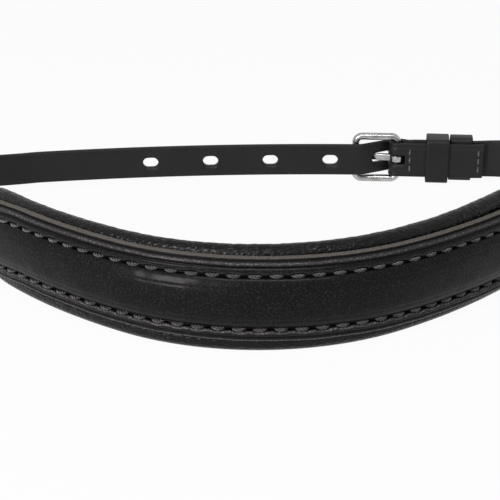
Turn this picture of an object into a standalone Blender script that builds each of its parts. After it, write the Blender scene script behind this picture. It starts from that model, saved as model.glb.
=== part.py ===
"""Padded bridle noseband, closed: a raised and padded front band, a billet strap with punched holes and a buckled
chape. Metres, +Z up. The loop lies in the XY plane, the front of the nose towards -Y, the buckle at +Y."""
import math

import bmesh
import bpy
from mathutils import Matrix, Vector

# Loop seen from above, on the flat border of the face leather: arcs from the front's centre to the back's centre
FRONT_RADIUS = 0.083
FRONT_ANGLE = math.radians(31)
CHEEK_RADIUS = 0.185
CHEEK_ANGLE = math.radians(32)
CORNER_RADIUS = 0.036
BACK_ANGLE = math.radians(8)
CORNER_ANGLE = math.pi - FRONT_ANGLE - CHEEK_ANGLE - BACK_ANGLE

# Fits
SEAT_GAP = 0.0003
SLIDE_GAP = 0.0004
OVERRUN = 0.001
SMOOTH_LIMIT = math.radians(50)

# Straps
STRAP_WIDTH = 0.012
BILLET_THICKNESS = 0.0022
CHAPE_THICKNESS = 0.0016
CHAPE_WIDER = 0.0014
CHAPE_FLARE_TO_KEEPER = 0.0009
CHAPE_FLARE_TO_CHEEK = 0.0012
CHAPE_SETTLE = 0.034
RISE_LENGTH = 0.060
STRAP_STEP = 0.005
CORNER_STEP = 0.004
FINE_STEP = 0.0012
CHAPE_WIDTH_AT_BAR = STRAP_WIDTH + CHAPE_WIDER
CHAPE_WIDTH_AT_KEEPER = CHAPE_WIDTH_AT_BAR + CHAPE_FLARE_TO_KEEPER
CHAPE_WIDTH_AT_CHEEK = CHAPE_WIDTH_AT_KEEPER + CHAPE_FLARE_TO_CHEEK

# Pad: foam in a soft lining that is open towards the backing
PAD_HALF = 0.109
PAD_ABOVE = 0.0025
PAD_BELOW = 0.0055
PAD_THICKNESS = 0.0058
PAD_CROWN = 0.0005
PAD_CROWN_SHARES = (0.3, 0.7)
PAD_END = 0.005
PAD_END_SHARE = 0.4
PAD_END_TURNS = (30, 55, 75, 90)
ROLL_STEP = math.radians(30)
LINING_WALL = 0.001
FLANGE_WIDTH = 0.0045
FOAM_END_GAP = 0.002

# Headstrap loops, on the inner side of the cheeks
LOOP_AFTER_PAD = 0.001
LOOP_MARGIN = 0.0015
LOOP_THICKNESS = 0.0018
LOOP_FOOT = 0.004
LOOP_RAMP = 0.0025
LOOP_FLAT = 0.016
LOOP_CLEAR_DEPTH = 0.0064
LOOP_START = PAD_HALF + LOOP_AFTER_PAD
LOOP_END = LOOP_START + 2 * LOOP_FOOT + 2 * LOOP_RAMP + LOOP_FLAT

# Laps, where the straps are sewn to the cheeks
LAP_AFTER_LOOP = 0.0015
LAP_LENGTH = 0.0115
LAP_START = LOOP_END + LAP_AFTER_LOOP
BAND_HALF = LAP_START + LAP_LENGTH

# Front band
FACE_HEIGHT = 0.024
CHEEK_MARGIN = 0.00075
CHEEK_HEIGHT = CHAPE_WIDTH_AT_CHEEK + 2 * CHEEK_MARGIN
LOOP_HEIGHT = CHEEK_HEIGHT - 2 * LOOP_MARGIN
FACE_THICKNESS = 0.0014
BACKING_THICKNESS = 0.0023
EDGE_RADIUS = 0.001
EDGE_CHAMFER = 0.0004
TAPER_BEFORE_PAD_END = 0.013
TAPER_LENGTH = 0.034
TAPER_START = PAD_HALF - TAPER_BEFORE_PAD_END
TIP_LENGTH = 0.005
TIP_SHARE = 0.45
TIP_TURNS = (30, 60, 90)
BAND_STEP = 0.006

# Raised centre and its core
RAISE = 0.0022
RAISE_LENGTH_HALF = 0.094
RAISE_FADE_LENGTH = 0.024
RAISE_POWER = 2.6
RAISE_ROOT = 0.7
RAISE_SHARES = (-0.93, -0.8, -0.55, -0.25, 0.25, 0.55, 0.8, 0.93)
HOLLOW_SHARES = (-0.9, -0.6, -0.2, 0.2, 0.6, 0.9)
RAISE_WALL = 0.001
CORE_FADE = 0.006
CORE_HALF = RAISE_LENGTH_HALF + CORE_FADE

# Stitch rows of the band
ROW_INSET = 0.00395
ROW_END_INSET = 0.006
ROW_HALF = BAND_HALF - ROW_END_INSET
STITCH_PITCH = 0.00588
GROOVE_HALF = 0.00095
GROOVE_FLOOR_SHARE = 0.6
GROOVE_DEPTH = 0.0005
THREAD_SEAT = 0.0002
THREAD_RADIUS = 0.00066
THREAD_NECK = 0.00028
THREAD_SIDES = 6
THREAD_SHARES = ((0.0, 0.0), (0.22, 0.65), (0.5, 1.0), (0.78, 0.65))

# Short seams
SEAM_PITCH = 0.003
SEAM_THREAD = 0.0005
SEAM_NECK = 0.0003
SEAM_INSET = 0.0019

# Buckle
BAR_PLACE = 0.053
BUCKLE_LENGTH = 0.016
BUCKLE_SIDE_GAP = 0.0004
WIRE_RADIUS = 0.0014
BAR_RADIUS = 0.00125
BUCKLE_CORNER = 0.0024
CORNER_PIECES = 3
WIRE_SIDES = 8
BUCKLE_OPENING = CHAPE_WIDTH_AT_BAR + 2 * BUCKLE_SIDE_GAP
FOLD_CLEARANCE = 0.00035
FOLD_STEP = 30
CLIMB_AFTER_FRONT_BAR = 0.002
CLIMB_EASE = 0.0012
SETTLE_START = 0.0008
SETTLE_END = 0.0062
TONGUE_WIDTH = 0.0024
TONGUE_THICKNESS = 0.0016
TONGUE_TIP_THICKNESS = 0.0012
TONGUE_WALL = 0.00105
TONGUE_CLEARANCE = 0.0003
TONGUE_SIDE_GAP = 0.0006
TONGUE_OVERHANG = 0.0022
EYE_SIDES = 16
FRAME_SWING = math.radians(8)
TONGUE_LIFT = math.radians(12)

# Billet holes and tip
HOLE_PITCH = 0.0232
HOLE_SHIFT = 0.0026
HOLE_WIDTH = 0.0042
HOLE_LENGTH = 0.006
HOLES_BEFORE = 4
HOLES_AFTER = 1
HOLE_END_TURNS = (-90, -60, -30, 0, 30, 60, 90)
TIP_AFTER_LAST_HOLE = 0.028
POINT_LENGTH = 0.013
POINT_SHARES = ((0.0, 1.0), (0.35, 0.9), (0.65, 0.66), (0.87, 0.38), (1.0, 0.12))

# Keepers
KEEPER_WIDTH = 0.0085
KEEPER_THICKNESS = 0.0012
KEEPER_TUCK = 0.0008
KEEPER_CORNER = 0.0015
KEEPER_CORNER_PIECES = 3
KEEPER_TRAVEL = 0.005
KEEPER_SPACE = 0.0005
TURN_BACK_TAIL = 0.0043
SLIDING_KEEPER_PLACE = BAR_PLACE + SETTLE_END + KEEPER_TRAVEL + KEEPER_WIDTH / 2
FIXED_KEEPER_PLACE = SLIDING_KEEPER_PLACE + KEEPER_WIDTH + KEEPER_SPACE
TURN_BACK_END = FIXED_KEEPER_PLACE + KEEPER_WIDTH / 2 + TURN_BACK_TAIL

# Depths of the layers, measured outwards from the flat border of the face leather
FACE_INNER = -FACE_THICKNESS
BACKING_OUTER = FACE_INNER - SEAT_GAP
BACKING_INNER = BACKING_OUTER - BACKING_THICKNESS
PAD_OUTER = BACKING_INNER - SEAT_GAP
STRAP_OUTER = BACKING_INNER - SEAT_GAP
BILLET_REST = STRAP_OUTER - BILLET_THICKNESS / 2
CHAPE_REST = STRAP_OUTER - CHAPE_THICKNESS / 2
BAR_OUT = STRAP_OUTER + SEAT_GAP + WIRE_RADIUS
FOLD_RADIUS = BAR_RADIUS + FOLD_CLEARANCE + CHAPE_THICKNESS / 2
FOLD_TOP = BAR_OUT + FOLD_RADIUS
TURN_BACK_MID = BAR_OUT - FOLD_RADIUS
LAYER_STEP = CHAPE_THICKNESS + KEEPER_TUCK + 2 * SEAT_GAP
CHAPE_AT_KEEPER = TURN_BACK_MID + LAYER_STEP
BILLET_OVER_CHAPE = CHAPE_THICKNESS / 2 + SEAT_GAP + BILLET_THICKNESS / 2
BILLET_TURN = FOLD_RADIUS + BILLET_OVER_CHAPE

# Heights: the pad's lower roll and the buckle's lower rail stand at zero
BAND_Z = FACE_HEIGHT / 2 + PAD_BELOW
BACK_Z = BUCKLE_OPENING / 2 + 2 * WIRE_RADIUS


def smooth(value, start, end):
    """Rises from 0 at start to 1 at end, level at both."""
    share = min(max((value - start) / (end - start), 0.0), 1.0)
    return share * share * (3.0 - 2.0 * share)


def steps(start, end, step):
    """Evenly spaced values from start to end, both included, no further apart than step."""
    count = max(1, math.ceil(abs(end - start) / step - 1e-9))
    return [start + (end - start) * index / count for index in range(count + 1)]


def plan_arcs():
    """Start, heading, radius and length of each arc of the right half of the loop."""
    place = Vector((0.0, 0.0))
    heading = 0.0
    arcs = []
    for radius, angle in ((FRONT_RADIUS, FRONT_ANGLE), (CHEEK_RADIUS, CHEEK_ANGLE), (CORNER_RADIUS, CORNER_ANGLE)):
        arcs.append((place.copy(), heading, radius, radius * angle))
        place = place + radius * Vector((math.sin(heading + angle) - math.sin(heading),
                                         math.cos(heading) - math.cos(heading + angle)))
        heading += angle
    radius = place.x / math.sin(BACK_ANGLE)
    arcs.append((place.copy(), heading, radius, radius * BACK_ANGLE))
    return arcs


ARCS = plan_arcs()
HALF_GIRTH = sum(arc[3] for arc in ARCS)
CORNER_END = sum(arc[3] for arc in ARCS[:3])
BACK_Y = ARCS[3][0].y + ARCS[3][2] * (math.cos(ARCS[3][1]) - math.cos(math.pi))


def half_plan(run):
    """Place and outward direction on the right half, run metres from the front's centre."""
    for start, heading, radius, length in ARCS:
        if run <= length or start is ARCS[-1][0]:
            turned = heading + run / radius
            place = start + radius * Vector((math.sin(turned) - math.sin(heading),
                                             math.cos(heading) - math.cos(turned)))
            return place, Vector((math.sin(turned), -math.cos(turned)))
        run -= length


def loop_place(run, out=0.0):
    """XY place at a signed distance along the loop from the front's centre, and its outward direction."""
    run = (run + HALF_GIRTH) % (2 * HALF_GIRTH) - HALF_GIRTH
    place, outward = half_plan(abs(run))
    side = -1.0 if run < 0 else 1.0
    place = Vector((place.x * side, place.y - CENTRE_Y))
    outward = Vector((outward.x * side, outward.y))
    return place + outward * out, outward


def back_place(along, out=0.0):
    """The same, at a distance along the back towards +X from its centre."""
    return loop_place(HALF_GIRTH - along, out)


BILLET_PEAK = FOLD_TOP + BILLET_OVER_CHAPE + BILLET_THICKNESS / 2
CENTRE_Y = 0.0
CENTRE_Y = (back_place(BAR_PLACE, BILLET_PEAK)[0].y - RAISE) / 2


def upright(place, height):
    return Vector((place.x, place.y, height))


def material(name, colour, roughness, metallic=0.0):
    made = bpy.data.materials.new(name)
    made.use_nodes = True
    shader = made.node_tree.nodes["Principled BSDF"]
    shader.inputs["Base Color"].default_value = (*colour, 1.0)
    shader.inputs["Roughness"].default_value = roughness
    shader.inputs["Metallic"].default_value = metallic
    return made


def finish(name, mesh_data, surface):
    """Closes a bmesh into a named object with outward faces and smooth round sides."""
    bmesh.ops.recalc_face_normals(mesh_data, faces=mesh_data.faces)
    mesh = bpy.data.meshes.new(name)
    mesh_data.to_mesh(mesh)
    mesh_data.free()
    mesh.shade_smooth()
    mesh.set_sharp_from_angle(angle=SMOOTH_LIMIT)
    mesh.materials.append(surface)
    made = bpy.data.objects.new(name, mesh)
    bpy.context.collection.objects.link(made)
    return made


def sweep(name, frames, sections, surface, closed=False):
    """Skins one section per frame. A frame is an origin and two directions; a section is a list of pairs."""
    mesh_data = bmesh.new()
    rings = []
    for (origin, first, second), section in zip(frames, sections):
        rings.append([mesh_data.verts.new(origin + first * a + second * b) for a, b in section])
    pairs = list(zip(rings, rings[1:] + rings[:1])) if closed else list(zip(rings, rings[1:]))
    for ring, following in pairs:
        for index in range(len(ring)):
            after = (index + 1) % len(ring)
            mesh_data.faces.new((ring[index], ring[after], following[after], following[index]))
    if not closed:
        mesh_data.faces.new(rings[0])
        mesh_data.faces.new(rings[-1])
    return finish(name, mesh_data, surface)


def prism(name, outline, centre, first, second, along, length, surface):
    """Extrudes an outline of pairs symmetrically along a direction."""
    ends = [(centre + along * shift, first, second) for shift in (-length / 2, length / 2)]
    return sweep(name, ends, [outline, outline], surface)


def cut(target, cutter):
    """Subtracts the cutter, which stays in the file as a hidden guide."""
    cutter.hide_render = True
    cutter.display_type = "WIRE"
    step = target.modifiers.new("cut_" + cutter.name, "BOOLEAN")
    step.operation = "DIFFERENCE"
    step.solver = "EXACT"
    step.object = cutter


def band_frame(run):
    place, outward = loop_place(run)
    return upright(place, BAND_Z), Vector((outward.x, outward.y, 0.0)), Vector((0.0, 0.0, 1.0))


def face_half(run):
    """Half of the band's height, full at the nose and tapered at the cheeks."""
    taper = smooth(abs(run), TAPER_START, TAPER_START + TAPER_LENGTH)
    return (FACE_HEIGHT - (FACE_HEIGHT - CHEEK_HEIGHT) * taper) / 2


def raise_share(run):
    return 1.0 - smooth(abs(run), RAISE_LENGTH_HALF, RAISE_LENGTH_HALF + RAISE_FADE_LENGTH)


def tip_share(run):
    """Rounds the blunt ends of the band's two leathers."""
    beyond = max(abs(run) - (BAND_HALF - TIP_LENGTH), 0.0) / TIP_LENGTH
    return TIP_SHARE + (1.0 - TIP_SHARE) * math.sqrt(max(1.0 - beyond * beyond, 0.0))


def band_runs():
    inner = BAND_HALF - TIP_LENGTH
    tip = [inner + TIP_LENGTH * math.sin(math.radians(angle)) for angle in TIP_TURNS]
    return [-run for run in reversed(tip)] + steps(-inner, inner, BAND_STEP) + tip


def bulge(share):
    """Height of the raised centre across its width, as a share of the full raise."""
    return max(1.0 - abs(share) ** RAISE_POWER, 0.0) ** RAISE_ROOT


def face_section(run):
    """Outline of the face leather: rounded edges, two grooves, and a wall of even thickness over the core."""
    half = face_half(run)
    row = half - ROW_INSET
    crown = row - GROOVE_HALF
    lift = RAISE * raise_share(run)
    depth = GROOVE_DEPTH * (1.0 if abs(run) <= ROW_HALF + STITCH_PITCH / 2 else 0.0)
    corner = EDGE_RADIUS * (1.0 - math.sqrt(0.5))
    upper = [
        (0.0, crown),
        (-depth, row - GROOVE_HALF * GROOVE_FLOOR_SHARE),
        (-depth, row + GROOVE_HALF * GROOVE_FLOOR_SHARE),
        (0.0, row + GROOVE_HALF),
        (0.0, half - EDGE_RADIUS),
        (-corner, half - corner),
        (-EDGE_RADIUS, half),
        (FACE_INNER, half),
    ]
    lower = [(a, -b) for a, b in reversed(upper)]
    front = [(lift * bulge(share), share * crown) for share in RAISE_SHARES]
    inner = crown - RAISE_WALL
    hollow = [(lift * bulge(share) + FACE_INNER, share * inner) for share in reversed(HOLLOW_SHARES)]
    outline = lower + front + upper + [(FACE_INNER, inner)] + hollow + [(FACE_INNER, -inner)]
    return [(a, b * tip_share(run)) for a, b in outline]


def core_section(run):
    inner = face_half(run) - ROW_INSET - GROOVE_HALF - RAISE_WALL - SEAT_GAP
    lift = RAISE * raise_share(run)
    front = [(lift * bulge(share) + FACE_INNER - SEAT_GAP, share * inner) for share in HOLLOW_SHARES]
    return [(FACE_INNER, -inner)] + front + [(FACE_INNER, inner)]


def strip_section(outer, inner, low, high, chamfer):
    """A flat strip between two depths and two heights, with chamfered edges."""
    return [(outer, low + chamfer), (outer, high - chamfer), (outer - chamfer, high), (inner + chamfer, high),
            (inner, high - chamfer), (inner, low + chamfer), (inner + chamfer, low), (outer - chamfer, low)]


def backing_section(run):
    half = face_half(run) * tip_share(run)
    return strip_section(BACKING_OUTER, BACKING_INNER, -half, half, EDGE_CHAMFER)


def pad_end_share(run):
    beyond = max(abs(run) - (PAD_HALF - PAD_END), 0.0) / PAD_END
    return PAD_END_SHARE + (1.0 - PAD_END_SHARE) * math.sqrt(max(1.0 - beyond * beyond, 0.0))


def roll(centre_a, centre_b, radius, start, end):
    """Points round a rolled edge, on facets that leave one level at its end."""
    count = round(abs(end - start) / ROLL_STEP)
    angles = [start + (end - start) * index / count for index in range(count + 1)]
    flat = radius / math.cos(ROLL_STEP / 2)
    return [(centre_a + flat * math.cos(angle), centre_b + flat * math.sin(angle)) for angle in angles]


def pad_section(run, wall):
    """Outline of the pad, or of its inside at a wall's depth: two rolled edges and a slightly crowned inner side."""
    share = pad_end_share(run)
    thickness = PAD_THICKNESS * share
    radius = thickness / 2 - wall
    top = (face_half(run) + PAD_ABOVE) * share - thickness / 2
    bottom = -(face_half(run) + PAD_BELOW) * share + thickness / 2
    middle = PAD_OUTER - thickness / 2
    half_step = ROLL_STEP / 2
    upper = roll(middle, top, radius, half_step, math.pi - half_step)
    lower = roll(middle, bottom, radius, math.pi + half_step, 2 * math.pi - half_step)
    crown = [(middle - radius - PAD_CROWN * share, top + (bottom - top) * place) for place in PAD_CROWN_SHARES]
    return upper, crown, lower, middle + radius, top, bottom


def lining_section(run):
    upper, crown, lower, front, top, bottom = pad_section(run, 0.0)
    return [(front, top)] + upper + crown + lower + [(front, bottom)]


def cavity_section(run, wall, mouth, front_end):
    """The room inside the lining, and its mouth towards the backing."""
    upper, crown, lower, front, top, bottom = pad_section(run, wall)
    return ([(front_end, mouth), (front, mouth), (front, top)] + upper + crown + lower
            + [(front, bottom), (front, -mouth), (front_end, -mouth)])


def ring(radius, sides):
    """Unit directions of a regular section, with flats towards both axes."""
    flat = radius / math.cos(math.pi / sides)
    return [(flat * math.cos(math.pi * (2 * side + 1) / sides), flat * math.sin(math.pi * (2 * side + 1) / sides))
            for side in range(sides)]


def thread(name, count, seat, surface, radius, neck):
    """A sewing thread that swells at each stitch and narrows where it dives between two stitches.

    seat(position) gives, for a position counted in stitches, the point on the leather, its outward direction and
    the direction across the row."""
    frames = []
    sections = []
    positions = [index + share for index in range(count) for share, _ in THREAD_SHARES] + [count]
    swells = [swell for _ in range(count) for _, swell in THREAD_SHARES] + [0.0]
    for position, swell in zip(positions, swells):
        thick = neck + (radius - neck) * swell
        point, outward, across = seat(position)
        frames.append((point + outward * (THREAD_SEAT + thick), outward, across))
        sections.append(ring(thick, THREAD_SIDES))
    return sweep(name, frames, sections, surface)


def band_stitching(name, side, surface):
    count = 2 * int(ROW_HALF / STITCH_PITCH)

    def seat(position):
        run = (position - count / 2) * STITCH_PITCH
        origin, outward, up = band_frame(run)
        row = side * (face_half(run) - ROW_INSET)
        return origin + up * row - outward * GROOVE_DEPTH, outward, up

    return thread(name, count, seat, surface, THREAD_RADIUS, THREAD_NECK)


def ribbon(name, points, heights, sections, outward_sign, surface):
    """Sweeps strap sections along a line of XY points, mitred at each point, at the given heights."""
    frames = []
    for index, point in enumerate(points):
        arriving = (point - points[index - 1]).normalized() if index else (points[1] - point).normalized()
        leaving = (points[index + 1] - point).normalized() if index + 1 < len(points) else arriving
        along = (arriving + leaving).normalized()
        outward = Vector((-along.y, along.x, 0.0)) * outward_sign / along.dot(arriving)
        frames.append((upright(point, heights[index]), outward, Vector((0.0, 0.0, 1.0))))
    return sweep(name, frames, sections, surface)


def strap_section(thickness, width):
    return strip_section(thickness / 2, -thickness / 2, -width / 2, width / 2, EDGE_CHAMFER)


def chape_out(along):
    """Middle depth of the chape's outer layer, for a distance along the back."""
    drop = (FOLD_TOP - CHAPE_AT_KEEPER) * smooth(along, BAR_PLACE + SETTLE_START, BAR_PLACE + SETTLE_END)
    settle = (CHAPE_AT_KEEPER - CHAPE_REST) * smooth(along, TURN_BACK_END, TURN_BACK_END + CHAPE_SETTLE)
    return FOLD_TOP - drop - settle


def right_height(along):
    """Height of the doubled strap's middle: level through the keepers, then up to the cheek."""
    return BACK_Z + (BAND_Z - BACK_Z) * smooth(along, FIXED_KEEPER_PLACE, HALF_GIRTH - BAND_HALF)


def chape_width(along):
    at_keeper = smooth(along, BAR_PLACE + FOLD_RADIUS, SLIDING_KEEPER_PLACE - KEEPER_WIDTH)
    at_cheek = smooth(along, FIXED_KEEPER_PLACE + KEEPER_WIDTH / 2, HALF_GIRTH - CORNER_END + CORNER_RADIUS)
    return (CHAPE_WIDTH_AT_BAR + (CHAPE_WIDTH_AT_KEEPER - CHAPE_WIDTH_AT_BAR) * at_keeper
            + (CHAPE_WIDTH_AT_CHEEK - CHAPE_WIDTH_AT_KEEPER) * at_cheek)


def climb_line():
    """Where the billet leaves the buckle's front bar and how steeply it climbs to pass over the fold."""
    reach = Vector((BUCKLE_LENGTH - CLIMB_AFTER_FRONT_BAR, BAR_OUT - BILLET_REST))
    angle = math.atan2(reach.y, reach.x) + math.asin(BILLET_TURN / reach.length)
    return BAR_PLACE - reach.x, angle


def billet_out(along):
    """Middle depth of the billet: inside the front bar, up over the fold, then on the chape."""
    start, angle = climb_line()
    top = BAR_PLACE - BILLET_TURN * math.sin(angle)
    if along < start - CLIMB_EASE:
        return BILLET_REST
    if along < start + CLIMB_EASE:
        return BILLET_REST + math.tan(angle) * (along - start + CLIMB_EASE) ** 2 / (4 * CLIMB_EASE)
    if along < top:
        return BILLET_REST + math.tan(angle) * (along - start)
    if along < BAR_PLACE:
        return BAR_OUT + math.sqrt(BILLET_TURN ** 2 - (BAR_PLACE - along) ** 2)
    return chape_out(min(along, TURN_BACK_END)) + BILLET_OVER_CHAPE


def used_hole():
    """Middle place along the back and length of the hole that the tongue goes through.

    It is long enough for the tongue and the frame to lift together without meeting its ends."""
    _, angle = climb_line()
    rest = tongue_angle()
    lean = math.pi / 2 - angle

    def reach(lift):
        crossing = lean - rest - lift
        across = TONGUE_THICKNESS / 2 / math.cos(crossing) + BILLET_THICKNESS / 2 * math.tan(crossing) + SEAT_GAP
        return BILLET_TURN * math.tan(crossing), across

    far, far_room = reach(0.0)
    near, near_room = reach(FRAME_SWING + TONGUE_LIFT)
    far_end = far + far_room
    near_end = near - near_room
    foot = BAR_PLACE - BILLET_TURN * math.sin(angle)
    return foot - (far_end + near_end) / 2 * math.cos(angle), far_end - near_end


def tongue_angle():
    """Slope of the tongue, which rests on the outer side of the front bar."""
    rise = WIRE_RADIUS + TONGUE_CLEARANCE + TONGUE_THICKNESS / 2
    return math.atan2(rise, BUCKLE_LENGTH)


def hole_cutter(name, along, length, surface):
    """A slot-shaped punch, square to the billet where it stands."""
    before, _ = back_place(along - FINE_STEP / 2, billet_out(along - FINE_STEP / 2))
    after, _ = back_place(along + FINE_STEP / 2, billet_out(along + FINE_STEP / 2))
    line = (after - before).normalized()
    direction = Vector((line.x, line.y, 0.0))
    outward = Vector((-line.y, line.x, 0.0))
    radius = HOLE_WIDTH / 2
    straight = length / 2 - radius
    outline = []
    for side in (1, -1):
        for turn in HOLE_END_TURNS:
            angle = math.radians(turn)
            outline.append((side * (straight + radius * math.cos(angle)), side * radius * math.sin(angle)))
    place, _ = back_place(along, billet_out(along))
    centre = upright(place, billet_height(along))
    return prism(name, outline, centre, direction, Vector((0.0, 0.0, 1.0)), outward,
                 BILLET_THICKNESS + 2 * OVERRUN, surface)


def billet_height(along):
    """Height of the billet's middle, for a distance along the back: it comes down from the left cheek."""
    end = HALF_GIRTH - BAND_HALF
    return right_height(along) + (BAND_Z - BACK_Z) * smooth(-along, end - RISE_LENGTH, end)


def walk(start, distance):
    """Place along the back that lies a signed distance from start, measured on the billet itself."""
    step = math.copysign(FINE_STEP, distance)
    remaining = abs(distance)
    while True:
        here, _ = back_place(start, billet_out(start))
        following, _ = back_place(start + step, billet_out(start + step))
        length = (following - here).length
        if length >= remaining:
            return start + step * remaining / length
        remaining -= length
        start += step


def make_billet(surface, guide):
    hole_place, hole_length = used_hole()
    tip = walk(hole_place, HOLES_AFTER * HOLE_PITCH) + TIP_AFTER_LAST_HOLE
    point = tip - POINT_LENGTH
    start = -(HALF_GIRTH - LAP_START)
    corner = -(HALF_GIRTH - CORNER_END)
    climb, _ = climb_line()
    alongs = steps(start, corner, CORNER_STEP)
    alongs += steps(corner, climb - CLIMB_EASE, STRAP_STEP)[1:]
    alongs += steps(climb - CLIMB_EASE, BAR_PLACE + SETTLE_END, FINE_STEP)[1:]
    alongs += steps(BAR_PLACE + SETTLE_END, point, STRAP_STEP)[1:]
    alongs += [point + POINT_LENGTH * share for share, _ in POINT_SHARES[1:]]
    widths = [STRAP_WIDTH] * (len(alongs) - len(POINT_SHARES) + 1)
    widths += [STRAP_WIDTH * share for _, share in POINT_SHARES[1:]]
    points = [back_place(along, billet_out(along))[0] for along in alongs]
    heights = [billet_height(along) for along in alongs]
    sections = [strap_section(BILLET_THICKNESS, width) for width in widths]
    billet = ribbon("billet_strap", points, heights, sections, 1.0, surface)
    cut(billet, hole_cutter("used_hole_punch", hole_place, hole_length, guide))
    others = [-index for index in range(1, HOLES_BEFORE + 1)] + [index + 1 for index in range(HOLES_AFTER)]
    for number in others:
        # The hole in use is drawn out away from the bar, so its middle lies further from the bar than its row's
        place = walk(hole_place, number * HOLE_PITCH + HOLE_SHIFT)
        cut(billet, hole_cutter(f"hole_punch_{number}", place, HOLE_LENGTH, guide))


def make_chape(surface, guide):
    """One strap: from the right cheek along the back, round the bar, and back on its inner side."""
    outer = steps(HALF_GIRTH - LAP_START, HALF_GIRTH - CORNER_END, CORNER_STEP)
    outer += steps(HALF_GIRTH - CORNER_END, BAR_PLACE + SETTLE_END, STRAP_STEP)[1:]
    outer += steps(BAR_PLACE + SETTLE_END, BAR_PLACE, FINE_STEP)[1:]
    points = [back_place(along, chape_out(along))[0] for along in outer]
    heights = [right_height(along) for along in outer]
    widths = [chape_width(along) for along in outer]
    bar, bar_outward = back_place(BAR_PLACE, BAR_OUT)
    towards_front = Vector((-1.0, 0.0))
    towards_front = (towards_front - bar_outward * towards_front.dot(bar_outward)).normalized()
    for turn in range(FOLD_STEP, 180, FOLD_STEP):
        angle = math.radians(turn)
        points.append(bar + FOLD_RADIUS * (bar_outward * math.cos(angle) + towards_front * math.sin(angle)))
        heights.append(BACK_Z)
        widths.append(CHAPE_WIDTH_AT_BAR)
    for along in steps(BAR_PLACE, TURN_BACK_END, STRAP_STEP):
        points.append(back_place(along, TURN_BACK_MID)[0])
        heights.append(right_height(along))
        widths.append(CHAPE_WIDTH_AT_BAR)
    sections = [strap_section(CHAPE_THICKNESS, width) for width in widths]
    chape = ribbon("chape_strap", points, heights, sections, -1.0, surface)
    reach = eye_radius() + SEAT_GAP
    slot_length = reach + FOLD_RADIUS + CHAPE_THICKNESS
    half_height = TONGUE_WIDTH / 2 + TONGUE_SIDE_GAP
    half_depth = FOLD_RADIUS + CHAPE_THICKNESS + OVERRUN
    outline = [(-half_depth, -half_height), (half_depth, -half_height),
               (half_depth, half_height), (-half_depth, half_height)]
    middle = bar + towards_front * (slot_length / 2 - reach)
    forward = Vector((towards_front.x, towards_front.y, 0.0))
    outward = Vector((bar_outward.x, bar_outward.y, 0.0))
    slot = prism("tongue_slot_cut", outline, upright(middle, BACK_Z), outward, Vector((0.0, 0.0, 1.0)), forward,
                 slot_length, guide)
    cut(chape, slot)


def eye_radius():
    return BAR_RADIUS / math.cos(math.pi / WIRE_SIDES) + TONGUE_CLEARANCE + TONGUE_WALL


def buckle_axes():
    """The bar's middle, the direction to the front bar, and outwards."""
    bar, outward = back_place(BAR_PLACE, BAR_OUT)
    forward = Vector((outward.y, -outward.x)) * -1.0
    return upright(bar, BACK_Z), Vector((forward.x, forward.y, 0.0)), Vector((outward.x, outward.y, 0.0))


def on_axis(made, centre):
    """Puts the object's origin on its joint's axis."""
    made.data.transform(Matrix.Translation(-centre))
    made.location = centre
    return made


def make_frame(surface):
    """A closed wire of eight flats round a rectangle, thinner along the bar that the chape holds."""
    centre, forward, outward = buckle_axes()
    up = Vector((0.0, 0.0, 1.0))
    half = BUCKLE_OPENING / 2 + WIRE_RADIUS
    corners = ((BUCKLE_LENGTH, half, 0), (0.0, half, 90), (0.0, -half, 180), (BUCKLE_LENGTH, -half, 270))
    frames = []
    sections = []
    for place, height, start in corners:
        middle_x = place + BUCKLE_CORNER * (1 if place == 0.0 else -1)
        middle_z = height - BUCKLE_CORNER * (1 if height > 0 else -1)
        for piece in range(CORNER_PIECES + 1):
            angle = math.radians(start + 90 * piece / CORNER_PIECES)
            side = forward * math.cos(angle) + up * math.sin(angle)
            frames.append((centre + forward * middle_x + up * middle_z + side * BUCKLE_CORNER, side, outward))
            on_bar = (place == 0.0 and height > 0 and piece == CORNER_PIECES) or (
                place == 0.0 and height < 0 and piece == 0)
            sections.append(ring(BAR_RADIUS if on_bar else WIRE_RADIUS, WIRE_SIDES))
    return on_axis(sweep("buckle_frame", frames, sections, surface, closed=True), centre)


def make_tongue(surface, guide):
    """An eye round the bar and a tapered shaft whose tip rests on the front bar."""
    centre, forward, outward = buckle_axes()
    up = Vector((0.0, 0.0, 1.0))
    slope = tongue_angle()
    along = forward * math.cos(slope) + outward * math.sin(slope)
    across = outward * math.cos(slope) - forward * math.sin(slope)
    length = (BUCKLE_LENGTH + TONGUE_OVERHANG) / math.cos(slope)
    radius = eye_radius()
    half = TONGUE_THICKNESS / 2
    tip = TONGUE_TIP_THICKNESS / 2
    open_angle = math.asin(half / radius)
    outline = [(length - tip, half - 2 * tip), (length, half - tip), (length - tip, half)]
    for side in range(EYE_SIDES + 1):
        angle = open_angle + (2 * math.pi - 2 * open_angle) * side / EYE_SIDES
        outline.append((radius * math.cos(angle), radius * math.sin(angle)))
    tongue = prism("buckle_tongue", outline, centre, along, across, up, TONGUE_WIDTH, surface)
    hole = ring(radius - TONGUE_WALL, EYE_SIDES)
    bore = prism("tongue_eye_cut", hole, centre, along, across, up, TONGUE_WIDTH + 2 * OVERRUN, guide)
    cut(tongue, bore)
    return on_axis(tongue, centre)


def box_outline(low_a, high_a, half_b, corner):
    """A rounded rectangle, the same number of points whatever its size."""
    outline = []
    for a, b, start in ((high_a, half_b, 0), (low_a, half_b, 90), (low_a, -half_b, 180), (high_a, -half_b, 270)):
        middle_a = a - corner * (1 if a == high_a else -1)
        middle_b = b - corner * (1 if b > 0 else -1)
        for piece in range(KEEPER_CORNER_PIECES + 1):
            angle = math.radians(start + 90 * piece / KEEPER_CORNER_PIECES)
            outline.append((middle_a + corner * math.cos(angle), middle_b + corner * math.sin(angle)))
    return outline


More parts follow.
